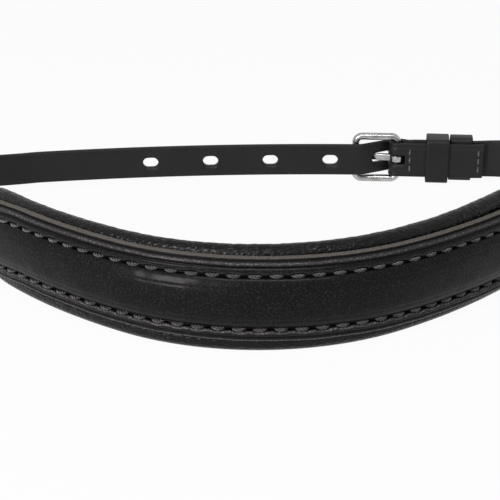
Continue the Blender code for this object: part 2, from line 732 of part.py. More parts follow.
def make_keeper(name, place, low, high, low_wall, gap, surface):
    """A closed leather ring round the doubled strap. Low and high are the strap's depths inside it."""
    half = chape_width(place) / 2 + gap
    outer = box_outline(low - gap - low_wall, high + gap + KEEPER_THICKNESS, half + KEEPER_THICKNESS, KEEPER_CORNER)
    inner = box_outline(low - gap, high + gap, half, KEEPER_CORNER - KEEPER_THICKNESS)
    mesh_data = bmesh.new()
    loops = []
    centre, outward = back_place(place)
    direction = keeper_direction(place)
    outward = Vector((outward.x, outward.y, 0.0))
    for shift in (-KEEPER_WIDTH / 2, KEEPER_WIDTH / 2):
        origin = upright(centre, right_height(place)) + direction * shift
        for outline in (outer, inner):
            loops.append([mesh_data.verts.new(origin + outward * a + Vector((0.0, 0.0, b))) for a, b in outline])
    for first, second in ((0, 1), (1, 3), (3, 2), (2, 0)):
        for index in range(len(outer)):
            after = (index + 1) % len(outer)
            mesh_data.faces.new((loops[first][index], loops[first][after],
                                 loops[second][after], loops[second][index]))
    return on_axis(finish(name, mesh_data, surface), upright(centre, right_height(place)))


def keeper_direction(place):
    """Along the doubled strap towards the buckle, falling as the strap does."""
    near, _ = back_place(place - KEEPER_WIDTH / 2)
    far, _ = back_place(place + KEEPER_WIDTH / 2)
    fall = right_height(place - KEEPER_WIDTH / 2) - right_height(place + KEEPER_WIDTH / 2)
    return Vector((near.x - far.x, near.y - far.y, fall)).normalized()


def make_loop(name, side, surface):
    """A belt loop on the inner side of the cheek: two sewn feet and a straight standing part between them."""
    foot = STRAP_OUTER - LOOP_THICKNESS / 2
    standing = BACKING_INNER - LOOP_CLEAR_DEPTH - LOOP_THICKNESS / 2
    runs = [LOOP_START, LOOP_START + LOOP_FOOT, LOOP_START + LOOP_FOOT + LOOP_RAMP]
    runs += [runs[-1] + LOOP_FLAT, runs[-1] + LOOP_FLAT + LOOP_RAMP, runs[-1] + LOOP_FLAT + LOOP_RAMP + LOOP_FOOT]
    outs = [foot, foot, standing, standing, foot, foot]
    points = [loop_place(side * run, out)[0] for run, out in zip(runs, outs)]
    sections = [strap_section(LOOP_THICKNESS, LOOP_HEIGHT)] * len(points)
    ribbon(name, points, [BAND_Z] * len(points), sections, -side, surface)
    return runs


def cross_seam(name, place, outward, surface, height, middle):
    """A short row of stitches across a strap, on its inner side."""
    span = height - 2 * SEAM_INSET
    count = max(2, round(span / SEAM_PITCH))
    up = Vector((0.0, 0.0, 1.0))
    inward = Vector((-outward.x, -outward.y, 0.0))
    across = up.cross(inward)

    def seat(position):
        return upright(place, middle + (position / count - 0.5) * span), inward, across

    thread(name, count, seat, surface, SEAM_THREAD, SEAM_NECK)


def make_band(face, lining, foam, core, stitch, guide):
    runs = band_runs()
    frames = [band_frame(run) for run in runs]
    sweep("front_leather", frames, [face_section(run) for run in runs], face)
    sweep("backing_leather", frames, [backing_section(run) for run in runs], face)
    core_runs = steps(-CORE_HALF, CORE_HALF, BAND_STEP)
    sweep("raised_core", [band_frame(run) for run in core_runs], [core_section(run) for run in core_runs], core)
    level = PAD_HALF - PAD_END
    ends = [level + PAD_END * math.sin(math.radians(angle)) for angle in PAD_END_TURNS]
    pad_runs = [-run for run in reversed(ends)] + steps(-level, level, BAND_STEP) + ends
    pad = sweep("pad_lining", [band_frame(run) for run in pad_runs], [lining_section(run) for run in pad_runs], lining)
    mouth = (FACE_HEIGHT - 2 * FLANGE_WIDTH) / 2
    foam_half = level - FOAM_END_GAP
    room_runs = steps(-foam_half - SEAT_GAP, foam_half + SEAT_GAP, BAND_STEP)
    room = sweep("pad_room_cut", [band_frame(run) for run in room_runs],
                 [cavity_section(run, LINING_WALL, mouth, PAD_OUTER + OVERRUN) for run in room_runs], guide)
    cut(pad, room)
    foam_runs = steps(-foam_half, foam_half, BAND_STEP)
    sweep("pad_foam", [band_frame(run) for run in foam_runs],
          [cavity_section(run, LINING_WALL + SEAT_GAP, mouth - SEAT_GAP, PAD_OUTER) for run in foam_runs], foam)
    band_stitching("upper_stitching", 1, stitch)
    band_stitching("lower_stitching", -1, stitch)


def make_loops(face, stitch):
    for side, word in ((-1, "left"), (1, "right")):
        runs = make_loop(f"{word}_headstrap_loop", side, face)
        for end, run in (("front", runs[0] + LOOP_FOOT / 2), ("rear", runs[-1] - LOOP_FOOT / 2)):
            place, outward = loop_place(side * run, STRAP_OUTER - LOOP_THICKNESS)
            cross_seam(f"{word}_loop_{end}_stitching", place, outward, stitch, LOOP_HEIGHT, BAND_Z)


def make_strap_seams(stitch):
    """Seams across the straps, on their inner side: at both laps, behind the bar and near the turned-back end."""
    for name, side, thickness, width in (("billet_stitching", -1, BILLET_THICKNESS, STRAP_WIDTH),
                                         ("chape_stitching", 1, CHAPE_THICKNESS, CHAPE_WIDTH_AT_CHEEK)):
        place, outward = loop_place(side * (LAP_START + SEAM_INSET), STRAP_OUTER - thickness)
        cross_seam(name, place, outward, stitch, width, BAND_Z)
    behind_slot = BAR_PLACE + eye_radius() + SEAT_GAP + SEAM_INSET
    for name, along in (("fold_stitching", behind_slot), ("turn_back_stitching", TURN_BACK_END - SEAM_INSET)):
        place, outward = back_place(along, TURN_BACK_MID - CHAPE_THICKNESS / 2)
        cross_seam(name, place, outward, stitch, CHAPE_WIDTH_AT_BAR, right_height(along))


def main():
    for old in list(bpy.data.objects):
        bpy.data.objects.remove(old)
    face = material("face_leather", (0.012, 0.011, 0.011), 0.38)
    strap = material("strap_leather", (0.014, 0.013, 0.013), 0.45)
    lining = material("pad_leather", (0.018, 0.018, 0.018), 0.35)
    foam = material("foam", (0.35, 0.34, 0.32), 0.95)
    core = material("core_felt", (0.10, 0.09, 0.08), 0.95)
    stitch = material("thread", (0.02, 0.02, 0.022), 0.6)
    metal = material("buckle_steel", (0.72, 0.72, 0.71), 0.22, 1.0)
    guide = material("guide", (0.8, 0.2, 0.2), 0.5)
    make_band(face, lining, foam, core, stitch, guide)
    make_billet(strap, guide)
    make_chape(strap, guide)
    make_frame(metal)
    make_tongue(metal, guide)
    chape_outer = CHAPE_AT_KEEPER + CHAPE_THICKNESS / 2
    billet_outer = chape_outer + SEAT_GAP + BILLET_THICKNESS
    make_keeper("fixed_keeper", FIXED_KEEPER_PLACE, CHAPE_AT_KEEPER - CHAPE_THICKNESS / 2, billet_outer,
                KEEPER_TUCK, SEAT_GAP, strap)
    make_keeper("sliding_keeper", SLIDING_KEEPER_PLACE, TURN_BACK_MID - CHAPE_THICKNESS / 2, billet_outer,
                KEEPER_THICKNESS, SLIDE_GAP, strap)
    make_loops(strap, stitch)
    make_strap_seams(stitch)


main()
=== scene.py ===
"""Padded bridle noseband: leather, stitching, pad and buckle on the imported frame. Metres, +Z up."""
import math

import bpy
import numpy as np
from mathutils import Matrix, Vector


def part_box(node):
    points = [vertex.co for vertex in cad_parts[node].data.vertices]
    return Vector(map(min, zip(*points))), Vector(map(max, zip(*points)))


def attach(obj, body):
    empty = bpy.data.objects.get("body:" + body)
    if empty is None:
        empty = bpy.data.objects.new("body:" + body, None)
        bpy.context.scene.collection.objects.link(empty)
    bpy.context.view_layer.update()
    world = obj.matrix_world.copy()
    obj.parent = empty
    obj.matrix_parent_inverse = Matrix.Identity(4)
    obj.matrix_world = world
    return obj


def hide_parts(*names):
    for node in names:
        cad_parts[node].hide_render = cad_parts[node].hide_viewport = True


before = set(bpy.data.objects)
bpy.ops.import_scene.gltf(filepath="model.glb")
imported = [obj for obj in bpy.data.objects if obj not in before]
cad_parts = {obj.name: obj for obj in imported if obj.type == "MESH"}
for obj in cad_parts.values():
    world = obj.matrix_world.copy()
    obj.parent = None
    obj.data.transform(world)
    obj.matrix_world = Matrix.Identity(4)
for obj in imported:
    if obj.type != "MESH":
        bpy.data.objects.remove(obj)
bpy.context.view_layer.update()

# Loop seen from above, on the face leather's flat border: arcs from the front's centre to the back's centre
FRONT_RADIUS = 0.083
FRONT_ANGLE = math.radians(31)
CHEEK_RADIUS = 0.185
CHEEK_ANGLE = math.radians(32)
CORNER_RADIUS = 0.036
BACK_ANGLE = math.radians(8)
CORNER_ANGLE = math.pi - FRONT_ANGLE - CHEEK_ANGLE - BACK_ANGLE
UP = np.array((0.0, 0.0, 1.0))

# Layers and heights, as in the frame
SEAT_GAP = 0.0003
RAISE = 0.0022
FACE_THICKNESS = 0.0014
BACKING_THICKNESS = 0.0023
PAD_THICKNESS = 0.0058
PAD_ABOVE = 0.0025
PAD_BELOW = 0.0055
BILLET_THICKNESS = 0.0022
CHAPE_THICKNESS = 0.0016
STRAP_WIDTH = 0.012
CHAPE_WIDTH_AT_BAR = 0.0134
CHAPE_WIDTH_AT_KEEPER = 0.0143
CHAPE_WIDTH_AT_CHEEK = 0.0155
FACE_INNER = -FACE_THICKNESS
BACKING_OUTER = FACE_INNER - SEAT_GAP
BACKING_INNER = BACKING_OUTER - BACKING_THICKNESS
STRAP_OUTER = BACKING_INNER - SEAT_GAP
FACE_LOW, FACE_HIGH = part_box("front_leather")
BAND_Z = (FACE_LOW.z + FACE_HIGH.z) / 2
FACE_HEIGHT = FACE_HIGH.z - FACE_LOW.z
BUCKLE_LOW, BUCKLE_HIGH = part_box("buckle_frame")
BACK_Z = (BUCKLE_LOW.z + BUCKLE_HIGH.z) / 2

# Lengths along the band, from the front's centre
PAD_HALF = 0.109
PAD_END = 0.005
PAD_END_SHARE = 0.4
LOOP_START = PAD_HALF + 0.001
LOOP_FOOT = 0.004
LOOP_RAMP = 0.0025
LOOP_FLAT = 0.016
LOOP_CLEAR_DEPTH = 0.0064
LOOP_THICKNESS = 0.0018
LOOP_HEIGHT = 0.014
LAP_START = LOOP_START + 2 * LOOP_FOOT + 2 * LOOP_RAMP + LOOP_FLAT + 0.0015
BAND_HALF = LAP_START + 0.0115
CHEEK_HEIGHT = 0.017
TAPER_START = PAD_HALF - 0.013
TAPER_LENGTH = 0.034
TIP_LENGTH = 0.005
TIP_SHARE = 0.45
RAISE_LENGTH_HALF = 0.094
RAISE_FADE_LENGTH = 0.024
RAISE_POWER = 2.6
RAISE_ROOT = 0.7
RAISE_WALL = 0.001
CORE_INSET = 0.00095
CORE_HALF = 0.1

# Stitch rows of the band
ROW_INSET = 0.00395
STITCH_PITCH = 0.00588
STITCHES = 48
GROOVE_DEPTH = 0.0009
LIP_INNER = 0.00055
LIP_OUTER = 0.0004
LIP_ARC = 0.0004
UPPER_SWELL = 0.00018
LOWER_SWELL = 0.0007
EDGE_RADIUS = 0.001
STITCH_LENGTH = 0.0040
STRAND_RADIUS = 0.00026
TWIST_RADIUS = 0.00041
UPPER_DROP = 0.0001
LOWER_DROP = 0.00025
UPPER_SHIFT = 0.0009
LOWER_SHIFT = 0.0021
CREASE_INSET = 0.0028
CREASE_WIDTH = 0.00032
CREASE_DEPTH = 0.0001
EDGE_LINE_INSET = 0.0016
EDGE_LINE_WIDTH = 0.0004
EDGE_LINE_DEPTH = 0.00045
# Painted highlight on the face leather: place and width as shares across the border by each row, angle and
# spread in degrees round the rounded corner
PAINTED_HIGHLIGHT_PLACE = 0.1
PAINTED_HIGHLIGHT_WIDTH = 0.14
PAINTED_HIGHLIGHT_ANGLE = 38.0
PAINTED_HIGHLIGHT_SPREAD = 22.0

# Buckle and doubled strap
BAR_PLACE = 0.053
BUCKLE_LENGTH = 0.016
CLIMB_SHORT = 0.002
WIRE_RADIUS = 0.0014
BAR_RADIUS = 0.00125
BUCKLE_CORNER = 0.0024
BAR_OUT = STRAP_OUTER + SEAT_GAP + WIRE_RADIUS
FOLD_RADIUS = BAR_RADIUS + 0.00035 + CHAPE_THICKNESS / 2
KEEPER_WIDTH = 0.0085
KEEPER_THICKNESS = 0.0012
KEEPER_TUCK = 0.0008
SLIDING_GAP = 0.0004
SETTLE_START = 0.0008
SETTLE_END = 0.0062
SLIDING_KEEPER_PLACE = BAR_PLACE + SETTLE_END + 0.005 + KEEPER_WIDTH / 2
FIXED_KEEPER_PLACE = SLIDING_KEEPER_PLACE + KEEPER_WIDTH + 0.0005
TURN_BACK_END = FIXED_KEEPER_PLACE + KEEPER_WIDTH / 2 + 0.0043
CHAPE_SETTLE = 0.034
RISE_LENGTH = 0.060
BILLET_REST = STRAP_OUTER - BILLET_THICKNESS / 2
CHAPE_REST = STRAP_OUTER - CHAPE_THICKNESS / 2
FOLD_TOP = BAR_OUT + FOLD_RADIUS
TURN_BACK_MID = BAR_OUT - FOLD_RADIUS
CHAPE_AT_KEEPER = TURN_BACK_MID + CHAPE_THICKNESS + KEEPER_TUCK + 2 * SEAT_GAP
BILLET_OVER_CHAPE = CHAPE_THICKNESS / 2 + SEAT_GAP + BILLET_THICKNESS / 2
BILLET_TURN = FOLD_RADIUS + BILLET_OVER_CHAPE
BILLET_PEAK = FOLD_TOP + BILLET_OVER_CHAPE + BILLET_THICKNESS / 2
CLIMB_EASE = 0.0012
TONGUE_WIDTH = 0.0024
TONGUE_THICKNESS = 0.0016
TONGUE_WALL = 0.00105
TONGUE_OVERHANG = 0.0022
TONGUE_NOSE = ((0.0016, 1.0), (0.0006, 0.8), (0.0001, 0.35))
TONGUE_BEVEL = 0.0004
EYE_RADIUS = BAR_RADIUS / math.cos(math.pi / 8) + SEAT_GAP + TONGUE_WALL
HOLE_PITCH = 0.0232
HOLE_SHIFT = 0.0026
HOLE_WIDTH = 0.0042
HOLE_LENGTH = 0.006
WORN_HOLE_ROOM = 0.001
HOLE_ROOM_TURN = math.radians(20)
FREE_HOLES = (-4, -3, -2, -1, 1)
PUNCH_REACH = 0.003
SLOT_REACH = 0.0055
SLOT_ROOM = 0.0006
CLOSE_RINGS_FROM = 0.036
WALK_STEP = 0.0012
TIP_AFTER_LAST_HOLE = 0.028
POINT_LENGTH = 0.013

# The sewn band stands a little askew on its pad, higher at the left
BAND_LIFT = 0.0002
BAND_LEAN = 0.015
LEAN_REACH = 0.075
LEAN_FADE = (0.080, 0.107)
PAD_RISE = 0.0009
PAD_RISE_ALONG = (0.055, 0.090)
PAD_PUFF = 0.0012
BACKING_PROUD = 0.0005

# Rounded edges, creases and short seams
BACKING_CORNER = 0.0003
STRAP_CORNER = 0.0004
STRAP_CREASE_INSET = 0.0015
STRAP_CREASE_DEPTH = 0.00016
LOOP_BEND = 0.0012
CUT_EDGE = 0.0002
SEAM_INSET = 0.0019
SEAM_PITCH = 0.003

# Looks and light. FLOOR_GLOW and WORLD_SEEN are only what the camera and reflections see
BLOTCH_SIZE = 0.014
CUT_FIBRE_SIZE = 0.0004
CUT_ROUGHNESS = 0.75
COAT_ROUGHNESS = 0.2
FLOOR_COLOUR = (0.93, 0.93, 0.93)
FLOOR_GLOW = 0.955
WORLD_LIGHT = 0.12
WORLD_SEEN = (0.8, 0.8, 0.8)
WHITE = (1.0, 1.0, 1.0)

# Camera, fitted to the photograph
CAMERA_PLACE = Vector((-0.00023, -0.34095, 0.15439))
CAMERA_TILT = math.radians(24.13)
CAMERA_TURN = math.radians(0.65)
CAMERA_ROLL = math.radians(-0.85)
LENS_MM = 80.0
SENSOR_MM = 36.0


def smooth(value, start, end):
    """Rises from 0 at start to 1 at end, level at both. Works on numbers and arrays."""
    share = np.clip((value - start) / (end - start), 0.0, 1.0)
    return share * share * (3.0 - 2.0 * share)


def plan_arcs():
    """Start, heading, radius and length of each arc of the right half of the loop."""
    place = np.zeros(2)
    heading = 0.0
    arcs = []
    bends = ((FRONT_RADIUS, FRONT_ANGLE), (CHEEK_RADIUS, CHEEK_ANGLE), (CORNER_RADIUS, CORNER_ANGLE))
    for radius, angle in bends:
        arcs.append((place, heading, radius, radius * angle))
        place = place + radius * np.array((math.sin(heading + angle) - math.sin(heading),
                                           math.cos(heading) - math.cos(heading + angle)))
        heading += angle
    radius = place[0] / math.sin(BACK_ANGLE)
    arcs.append((place, heading, radius, radius * BACK_ANGLE))
    return arcs


ARCS = plan_arcs()
HALF_GIRTH = sum(arc[3] for arc in ARCS)
CORNER_END = sum(arc[3] for arc in ARCS[:3])
FRONT_Y = 0.0


def loop_line(runs, out=0.0):
    """XY places and outward directions at signed distances along the loop from the front's centre."""
    runs = np.atleast_1d(np.asarray(runs, float))
    wrapped = (runs + HALF_GIRTH) % (2 * HALF_GIRTH) - HALF_GIRTH
    distance = np.abs(wrapped)
    side = np.where(wrapped < 0, -1.0, 1.0)
    places = np.zeros((len(runs), 2))
    outward = np.zeros((len(runs), 2))
    begin = 0.0
    for start, heading, radius, length in ARCS:
        here = distance >= begin
        turned = heading + (distance - begin) / radius
        along = np.column_stack((np.sin(turned) - math.sin(heading), math.cos(heading) - np.cos(turned)))
        places[here] = (start + radius * along)[here]
        outward[here] = np.column_stack((np.sin(turned), -np.cos(turned)))[here]
        begin += length
    places[:, 0] *= side
    outward[:, 0] *= side
    places[:, 1] += FRONT_Y
    return places + outward * np.reshape(out, (-1, 1)), outward


def back_line(alongs, out=0.0):
    """The same, at distances along the back towards +X from its centre."""
    return loop_line(HALF_GIRTH - np.asarray(alongs, float), out)


# The loop's outline is centred on the origin, front to back
FRONT_Y = (RAISE - back_line(BAR_PLACE, BILLET_PEAK)[0][0, 1]) / 2


def linked(name, data):
    made = bpy.data.objects.new(name, data)
    bpy.context.collection.objects.link(made)
    return made


def mesh_object(name, vertices, faces, material, smooth_angle=40.0):
    mesh = bpy.data.meshes.new(name)
    mesh.from_pydata([tuple(v) for v in vertices], [], faces)
    mesh.validate()
    mesh.update()
    mesh.shade_smooth()
    mesh.set_sharp_from_angle(angle=math.radians(smooth_angle))
    mesh.materials.append(material)
    return linked(name, mesh)


def outward_faces(points, rings, closed=False):
    """Faces of a closed surface over rings of points, all looking outwards."""
    index = np.arange(len(points)).reshape(rings, -1)
    first, following = (index, np.roll(index, -1, axis=0)) if closed else (index[:-1], index[1:])
    quads = np.stack((first, np.roll(first, -1, axis=1), np.roll(following, -1, axis=1), following), axis=-1)
    quads = quads.reshape(-1, 4)
    faces = quads.tolist()
    if not closed:
        faces += [index[0][::-1].tolist(), index[-1].tolist()]
    return [face[::-1] for face in faces] if signed_volume(points, quads) < 0 else faces


def skin(name, grid, material, closed=False, smooth_angle=40.0):
    """Joins rings of points, an array of rings by points by 3, into one closed surface with flat ends."""
    points = grid.reshape(-1, 3)
    return mesh_object(name, points, outward_faces(points, len(grid), closed), material, smooth_angle)


def signed_volume(points, quads):
    """Positive where the quads look outwards."""
    centre = points.mean(axis=0)
    a, b, c, d = (points[quads[:, corner]] - centre for corner in range(4))
    return float(np.sum(np.cross(a, b) * c) + np.sum(np.cross(a, c) * d))


def lean(runs):
    """How much higher the sewn band stands than in the frame; nothing at the cheeks, by their loops."""
    across = np.clip(loop_line(runs)[0][:, 0], -LEAN_REACH, LEAN_REACH)
    return (BAND_LIFT - BAND_LEAN * across) * (1.0 - smooth(np.abs(runs), *LEAN_FADE))


def swept(places, outward, outs, heights):
    """Points at depths and heights, arrays of rings by points, from each ring's XY place and direction."""
    grid = np.empty(outs.shape + (3,))
    grid[..., :2] = places[:, None] + outward[:, None] * outs[..., None]
    grid[..., 2] = heights
    return grid


def band_grid(runs, outs, heights):
    return swept(*loop_line(runs), outs, BAND_Z + heights)


def ripple(along, across, size, seed):
    """Slow unevenness of hand-worked leather, between about -1 and 1."""
    total = 0.0
    for octave in range(4):
        wave = 2 * math.pi / (size / (1 + 0.83 * octave))
        tilt = math.sin(seed * 12.9 + octave * 4.1)
        total = total + np.sin(wave * (along + tilt * across) + seed * 3.7 + octave * 1.9) / (1 + octave)
    return total / 2.1


def face_half(runs):
    taper = smooth(np.abs(runs), TAPER_START, TAPER_START + TAPER_LENGTH)
    return (FACE_HEIGHT - (FACE_HEIGHT - CHEEK_HEIGHT) * taper) / 2


def raise_share(runs):
    return 1.0 - smooth(np.abs(runs), RAISE_LENGTH_HALF, RAISE_LENGTH_HALF + RAISE_FADE_LENGTH)


def end_share(runs, level, end, least):
    """1 along the level stretch, and down to least on the rounded ends beyond it."""
    beyond = np.maximum(np.abs(runs) - level, 0.0) / end
    return least + (1.0 - least) * np.sqrt(np.maximum(1.0 - beyond * beyond, 0.0))


def tip_share(runs):
    return end_share(runs, BAND_HALF - TIP_LENGTH, TIP_LENGTH, TIP_SHARE)


def bulge(share):
    return np.maximum(1.0 - np.abs(share) ** RAISE_POWER, 0.0) ** RAISE_ROOT


def ended_runs(level, end, angles, step):
    """Distances along the band: even on the level stretch, closer together on its rounded ends."""
    tip = level + end * np.sin(np.radians(angles))
    middle = np.linspace(-level, level, 1 + 2 * round(level / step))
    return np.concatenate((-tip[::-1], middle, tip))


def band_runs(step):
    return ended_runs(BAND_HALF - TIP_LENGTH, TIP_LENGTH, (15, 30, 45, 60, 75, 90), step)


# Looks of leather, thread, metal and felt


def new_look(name):
    made = bpy.data.materials.new(name)
    made.use_nodes = True
    return made, made.node_tree


def feed(tree, value, socket):
    """Links a node's output to a socket, or sets the socket to a number, a vector or a colour."""
    if isinstance(value, bpy.types.NodeSocket):
        tree.links.new(value, socket)
    else:
        socket.default_value = (*value, 1.0) if socket.type == "RGBA" else value


def add_node(tree, kind, inputs, **settings):
    """A new node with its settings, and its inputs fed by name or number."""
    made = tree.nodes.new("ShaderNode" + kind)
    for setting, value in settings.items():
        setattr(made, setting, value)
    for key, value in inputs.items():
        feed(tree, value, made.inputs[key])
    return made


def set_shader(tree, inputs):
    for key, value in inputs.items():
        feed(tree, value, tree.nodes["Principled BSDF"].inputs[key])


def object_place(tree):
    return add_node(tree, "TexCoord", {}).outputs["Object"]


def marked(tree, name):
    """What mark_points stored on the mesh under this name."""
    return add_node(tree, "Attribute", {}, attribute_name=name).outputs["Fac"]


def math_node(tree, operation, first, second):
    return add_node(tree, "Math", {0: first, 1: second}, operation=operation).outputs[0]


def ranged(tree, value, low, high, new_low=0.0, new_high=1.0):
    inputs = {"Value": value, "From Min": low, "From Max": high, "To Min": new_low, "To Max": new_high}
    return add_node(tree, "MapRange", inputs).outputs["Result"]


def noise(tree, vector, size, detail=3.0):
    inputs = {"Vector": vector, "Scale": 1.0 / size, "Detail": detail, "Roughness": 0.55}
    return add_node(tree, "TexNoise", inputs).outputs["Fac"]


def cells(tree, vector, size):
    inputs = {"Vector": vector, "Scale": 1.0 / size}
    return add_node(tree, "TexVoronoi", inputs, feature="DISTANCE_TO_EDGE").outputs["Distance"]


def mixed(tree, factor, first, second):
    inputs = {"Factor": factor, "A": first, "B": second}
    return add_node(tree, "Mix", inputs, data_type="RGBA").outputs["Result"]


def bumped(tree, height, distance):
    inputs = {"Height": height, "Strength": 1.0, "Distance": distance}
    return add_node(tree, "Bump", inputs).outputs["Normal"]


def leather(name, dark, light, grain_size, grain_depth, rough, specular, coat=0.0, flecks_and_glints=(0.35, 0.65, 0.5),
            cut_edge_and_shade_colour=None, painted_highlight_colour=None):
    """Dyed leather: cells of grain, flecks and slow blotches. The mesh marks its cut edges, its painted shade
    and its painted highlights.

    The flecks setting says from what to what level of fine noise the light colour comes in, and its share. On
    the face leather the flecks are painted glints of the grain."""
    made, tree = new_look(name)
    where = object_place(tree)
    twist = add_node(tree, "TexNoise", {"Vector": where, "Scale": 0.3 / grain_size}).outputs["Color"]
    warp = {0: twist, 1: (grain_size * 1.4,) * 3, 2: where}
    bent = add_node(tree, "VectorMath", warp, operation="MULTIPLY_ADD").outputs[0]
    grain = ranged(tree, cells(tree, bent, grain_size), 0.0, 0.35)
    fine = noise(tree, bent, grain_size * 0.55, 2.0)
    slow = noise(tree, where, BLOTCH_SIZE)
    height = math_node(tree, "ADD", grain, math_node(tree, "MULTIPLY", fine, 0.8))
    blotch = ranged(tree, slow, 0.35, 0.68, 0.0, 1.0 - flecks_and_glints[2])
    # Pale flecks in the grain; on the face leather they are painted glints
    speckle_and_glints = ranged(tree, fine, flecks_and_glints[0], flecks_and_glints[1], 0.0, flecks_and_glints[2])
    colour = mixed(tree, math_node(tree, "ADD", blotch, speckle_and_glints), dark, light)
    roughness = ranged(tree, slow, 0.3, 0.7, rough[0], rough[1])
    # Painted highlight: a pale colour, patchy with the grain, where the mesh marks it; it stands in for gloss
    # on the face's corners and stitch lips
    if painted_highlight_colour:
        patchy = ranged(tree, math_node(tree, "MULTIPLY", grain, fine), 0.1, 0.6, 0.25, 1.0)
        colour = mixed(tree, math_node(tree, "MULTIPLY", marked(tree, "painted_highlight"), patchy), colour, painted_highlight_colour)
    # Marked places take the cut colour and a rough finish: raw cut edges on the backing and straps, painted
    # shade in the face leather's grooves and edge crease
    if cut_edge_and_shade_colour:
        cut = marked(tree, "cut")
        shades = [tuple(channel * share for channel in cut_edge_and_shade_colour) for share in (0.5, 1.5)]
        raw = mixed(tree, ranged(tree, noise(tree, where, CUT_FIBRE_SIZE, 4.0), 0.3, 0.7), *shades)
        colour = mixed(tree, cut, colour, raw)
        ends = {"Factor": cut, "A": roughness, "B": CUT_ROUGHNESS}
        roughness = add_node(tree, "Mix", ends).outputs["Result"]
    set_shader(tree, {"Base Color": colour, "Roughness": roughness, "Specular IOR Level": specular,
                      "Coat Weight": coat, "Coat Roughness": COAT_ROUGHNESS,
                      "Normal": bumped(tree, height, grain_depth)})
    return made


def waxed_thread(name):
    made, tree = new_look(name)
    fibre = noise(tree, object_place(tree), 0.00035)
    colour = mixed(tree, ranged(tree, fibre, 0.3, 0.7), (0.035, 0.035, 0.039), (0.18, 0.18, 0.195))
    set_shader(tree, {"Base Color": colour, "Roughness": 0.26, "Specular IOR Level": 0.6,
                      "Normal": bumped(tree, fibre, 0.00002)})
    return made


def buckle_metal(name):
    made, tree = new_look(name)
    where = object_place(tree)
    cloud = noise(tree, where, 0.004)
    colour = mixed(tree, ranged(tree, cloud, 0.35, 0.65), (0.3, 0.298, 0.295), (0.5, 0.497, 0.493))
    set_shader(tree, {"Base Color": colour, "Roughness": ranged(tree, cloud, 0.3, 0.7, 0.16, 0.3),
                      "Metallic": 1.0, "Normal": bumped(tree, noise(tree, where, 0.0003, 2.0), 0.000012)})
    return made


def pressed_felt(name):
    made, tree = new_look(name)
    pores = noise(tree, object_place(tree), 0.0006, 4.0)
    colour = mixed(tree, pores, (0.05, 0.045, 0.04), (0.12, 0.11, 0.1))
    set_shader(tree, {"Base Color": colour, "Roughness": 0.95, "Normal": bumped(tree, pores, 0.0001)})
    return made


# On the face leather the pale flecks are painted glints of the grain, the near-black cut colour is painted
# shade in the grooves and the edge crease, and the last, pale colour is a painted highlight
FACE_LEATHER = leather("face_leather", (0.0003, 0.0003, 0.0003), (0.018, 0.0165, 0.0165), 0.0009, 0.00006,
                       (0.38, 0.46), 0.07, coat=0.16, flecks_and_glints=(0.5, 0.68, 0.95),
                       cut_edge_and_shade_colour=(0.0004, 0.0004, 0.0004), painted_highlight_colour=(0.19, 0.178, 0.184))
CUT_LEATHER = leather("backing_leather", (0.006, 0.0055, 0.005), (0.009, 0.0085, 0.0075), 0.0007, 0.00005,
                      (0.5, 0.62), 0.2, cut_edge_and_shade_colour=(0.16, 0.147, 0.128))
PAD_LEATHER = leather("pad_leather", (0.0008, 0.0008, 0.0008), (0.006, 0.0057, 0.0054), 0.0014, 0.00014,
                      (0.2, 0.28), 0.18)
STRAP_LEATHER = leather("strap_leather", (0.011, 0.0107, 0.011), (0.018, 0.0175, 0.0175), 0.0006, 0.00002,
                        (0.36, 0.5), 0.25, cut_edge_and_shade_colour=(0.024, 0.022, 0.02))
THREAD = waxed_thread("thread")
METAL = buckle_metal("buckle_steel")
FELT = pressed_felt("core_felt")


def mark_points(made, name, marks):
    """Stores a share for each point: how much it belongs to a cut edge or to painted shade, or how much
    painted highlight it carries.
    """
    attribute = made.data.attributes.new(name, "FLOAT", "POINT")
    attribute.data.foreach_set("value", np.asarray(marks, np.float32).ravel())


def placed(made, body, slot, *nodes):
    """Every piece rides on its body and stands for its CAD nodes. Its slot is not used."""
    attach(made, body)
    if nodes:
        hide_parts(*nodes)
    return made


# Front band


def stitch_share(runs):
    """1 at the middle of each stitch, 0 where two stitches meet and the thread dives."""
    inside = np.abs(runs) < STITCHES / 2 * STITCH_PITCH
    return smooth(np.abs(np.sin(math.pi * runs / STITCH_PITCH)), 0.35, 0.85) * inside


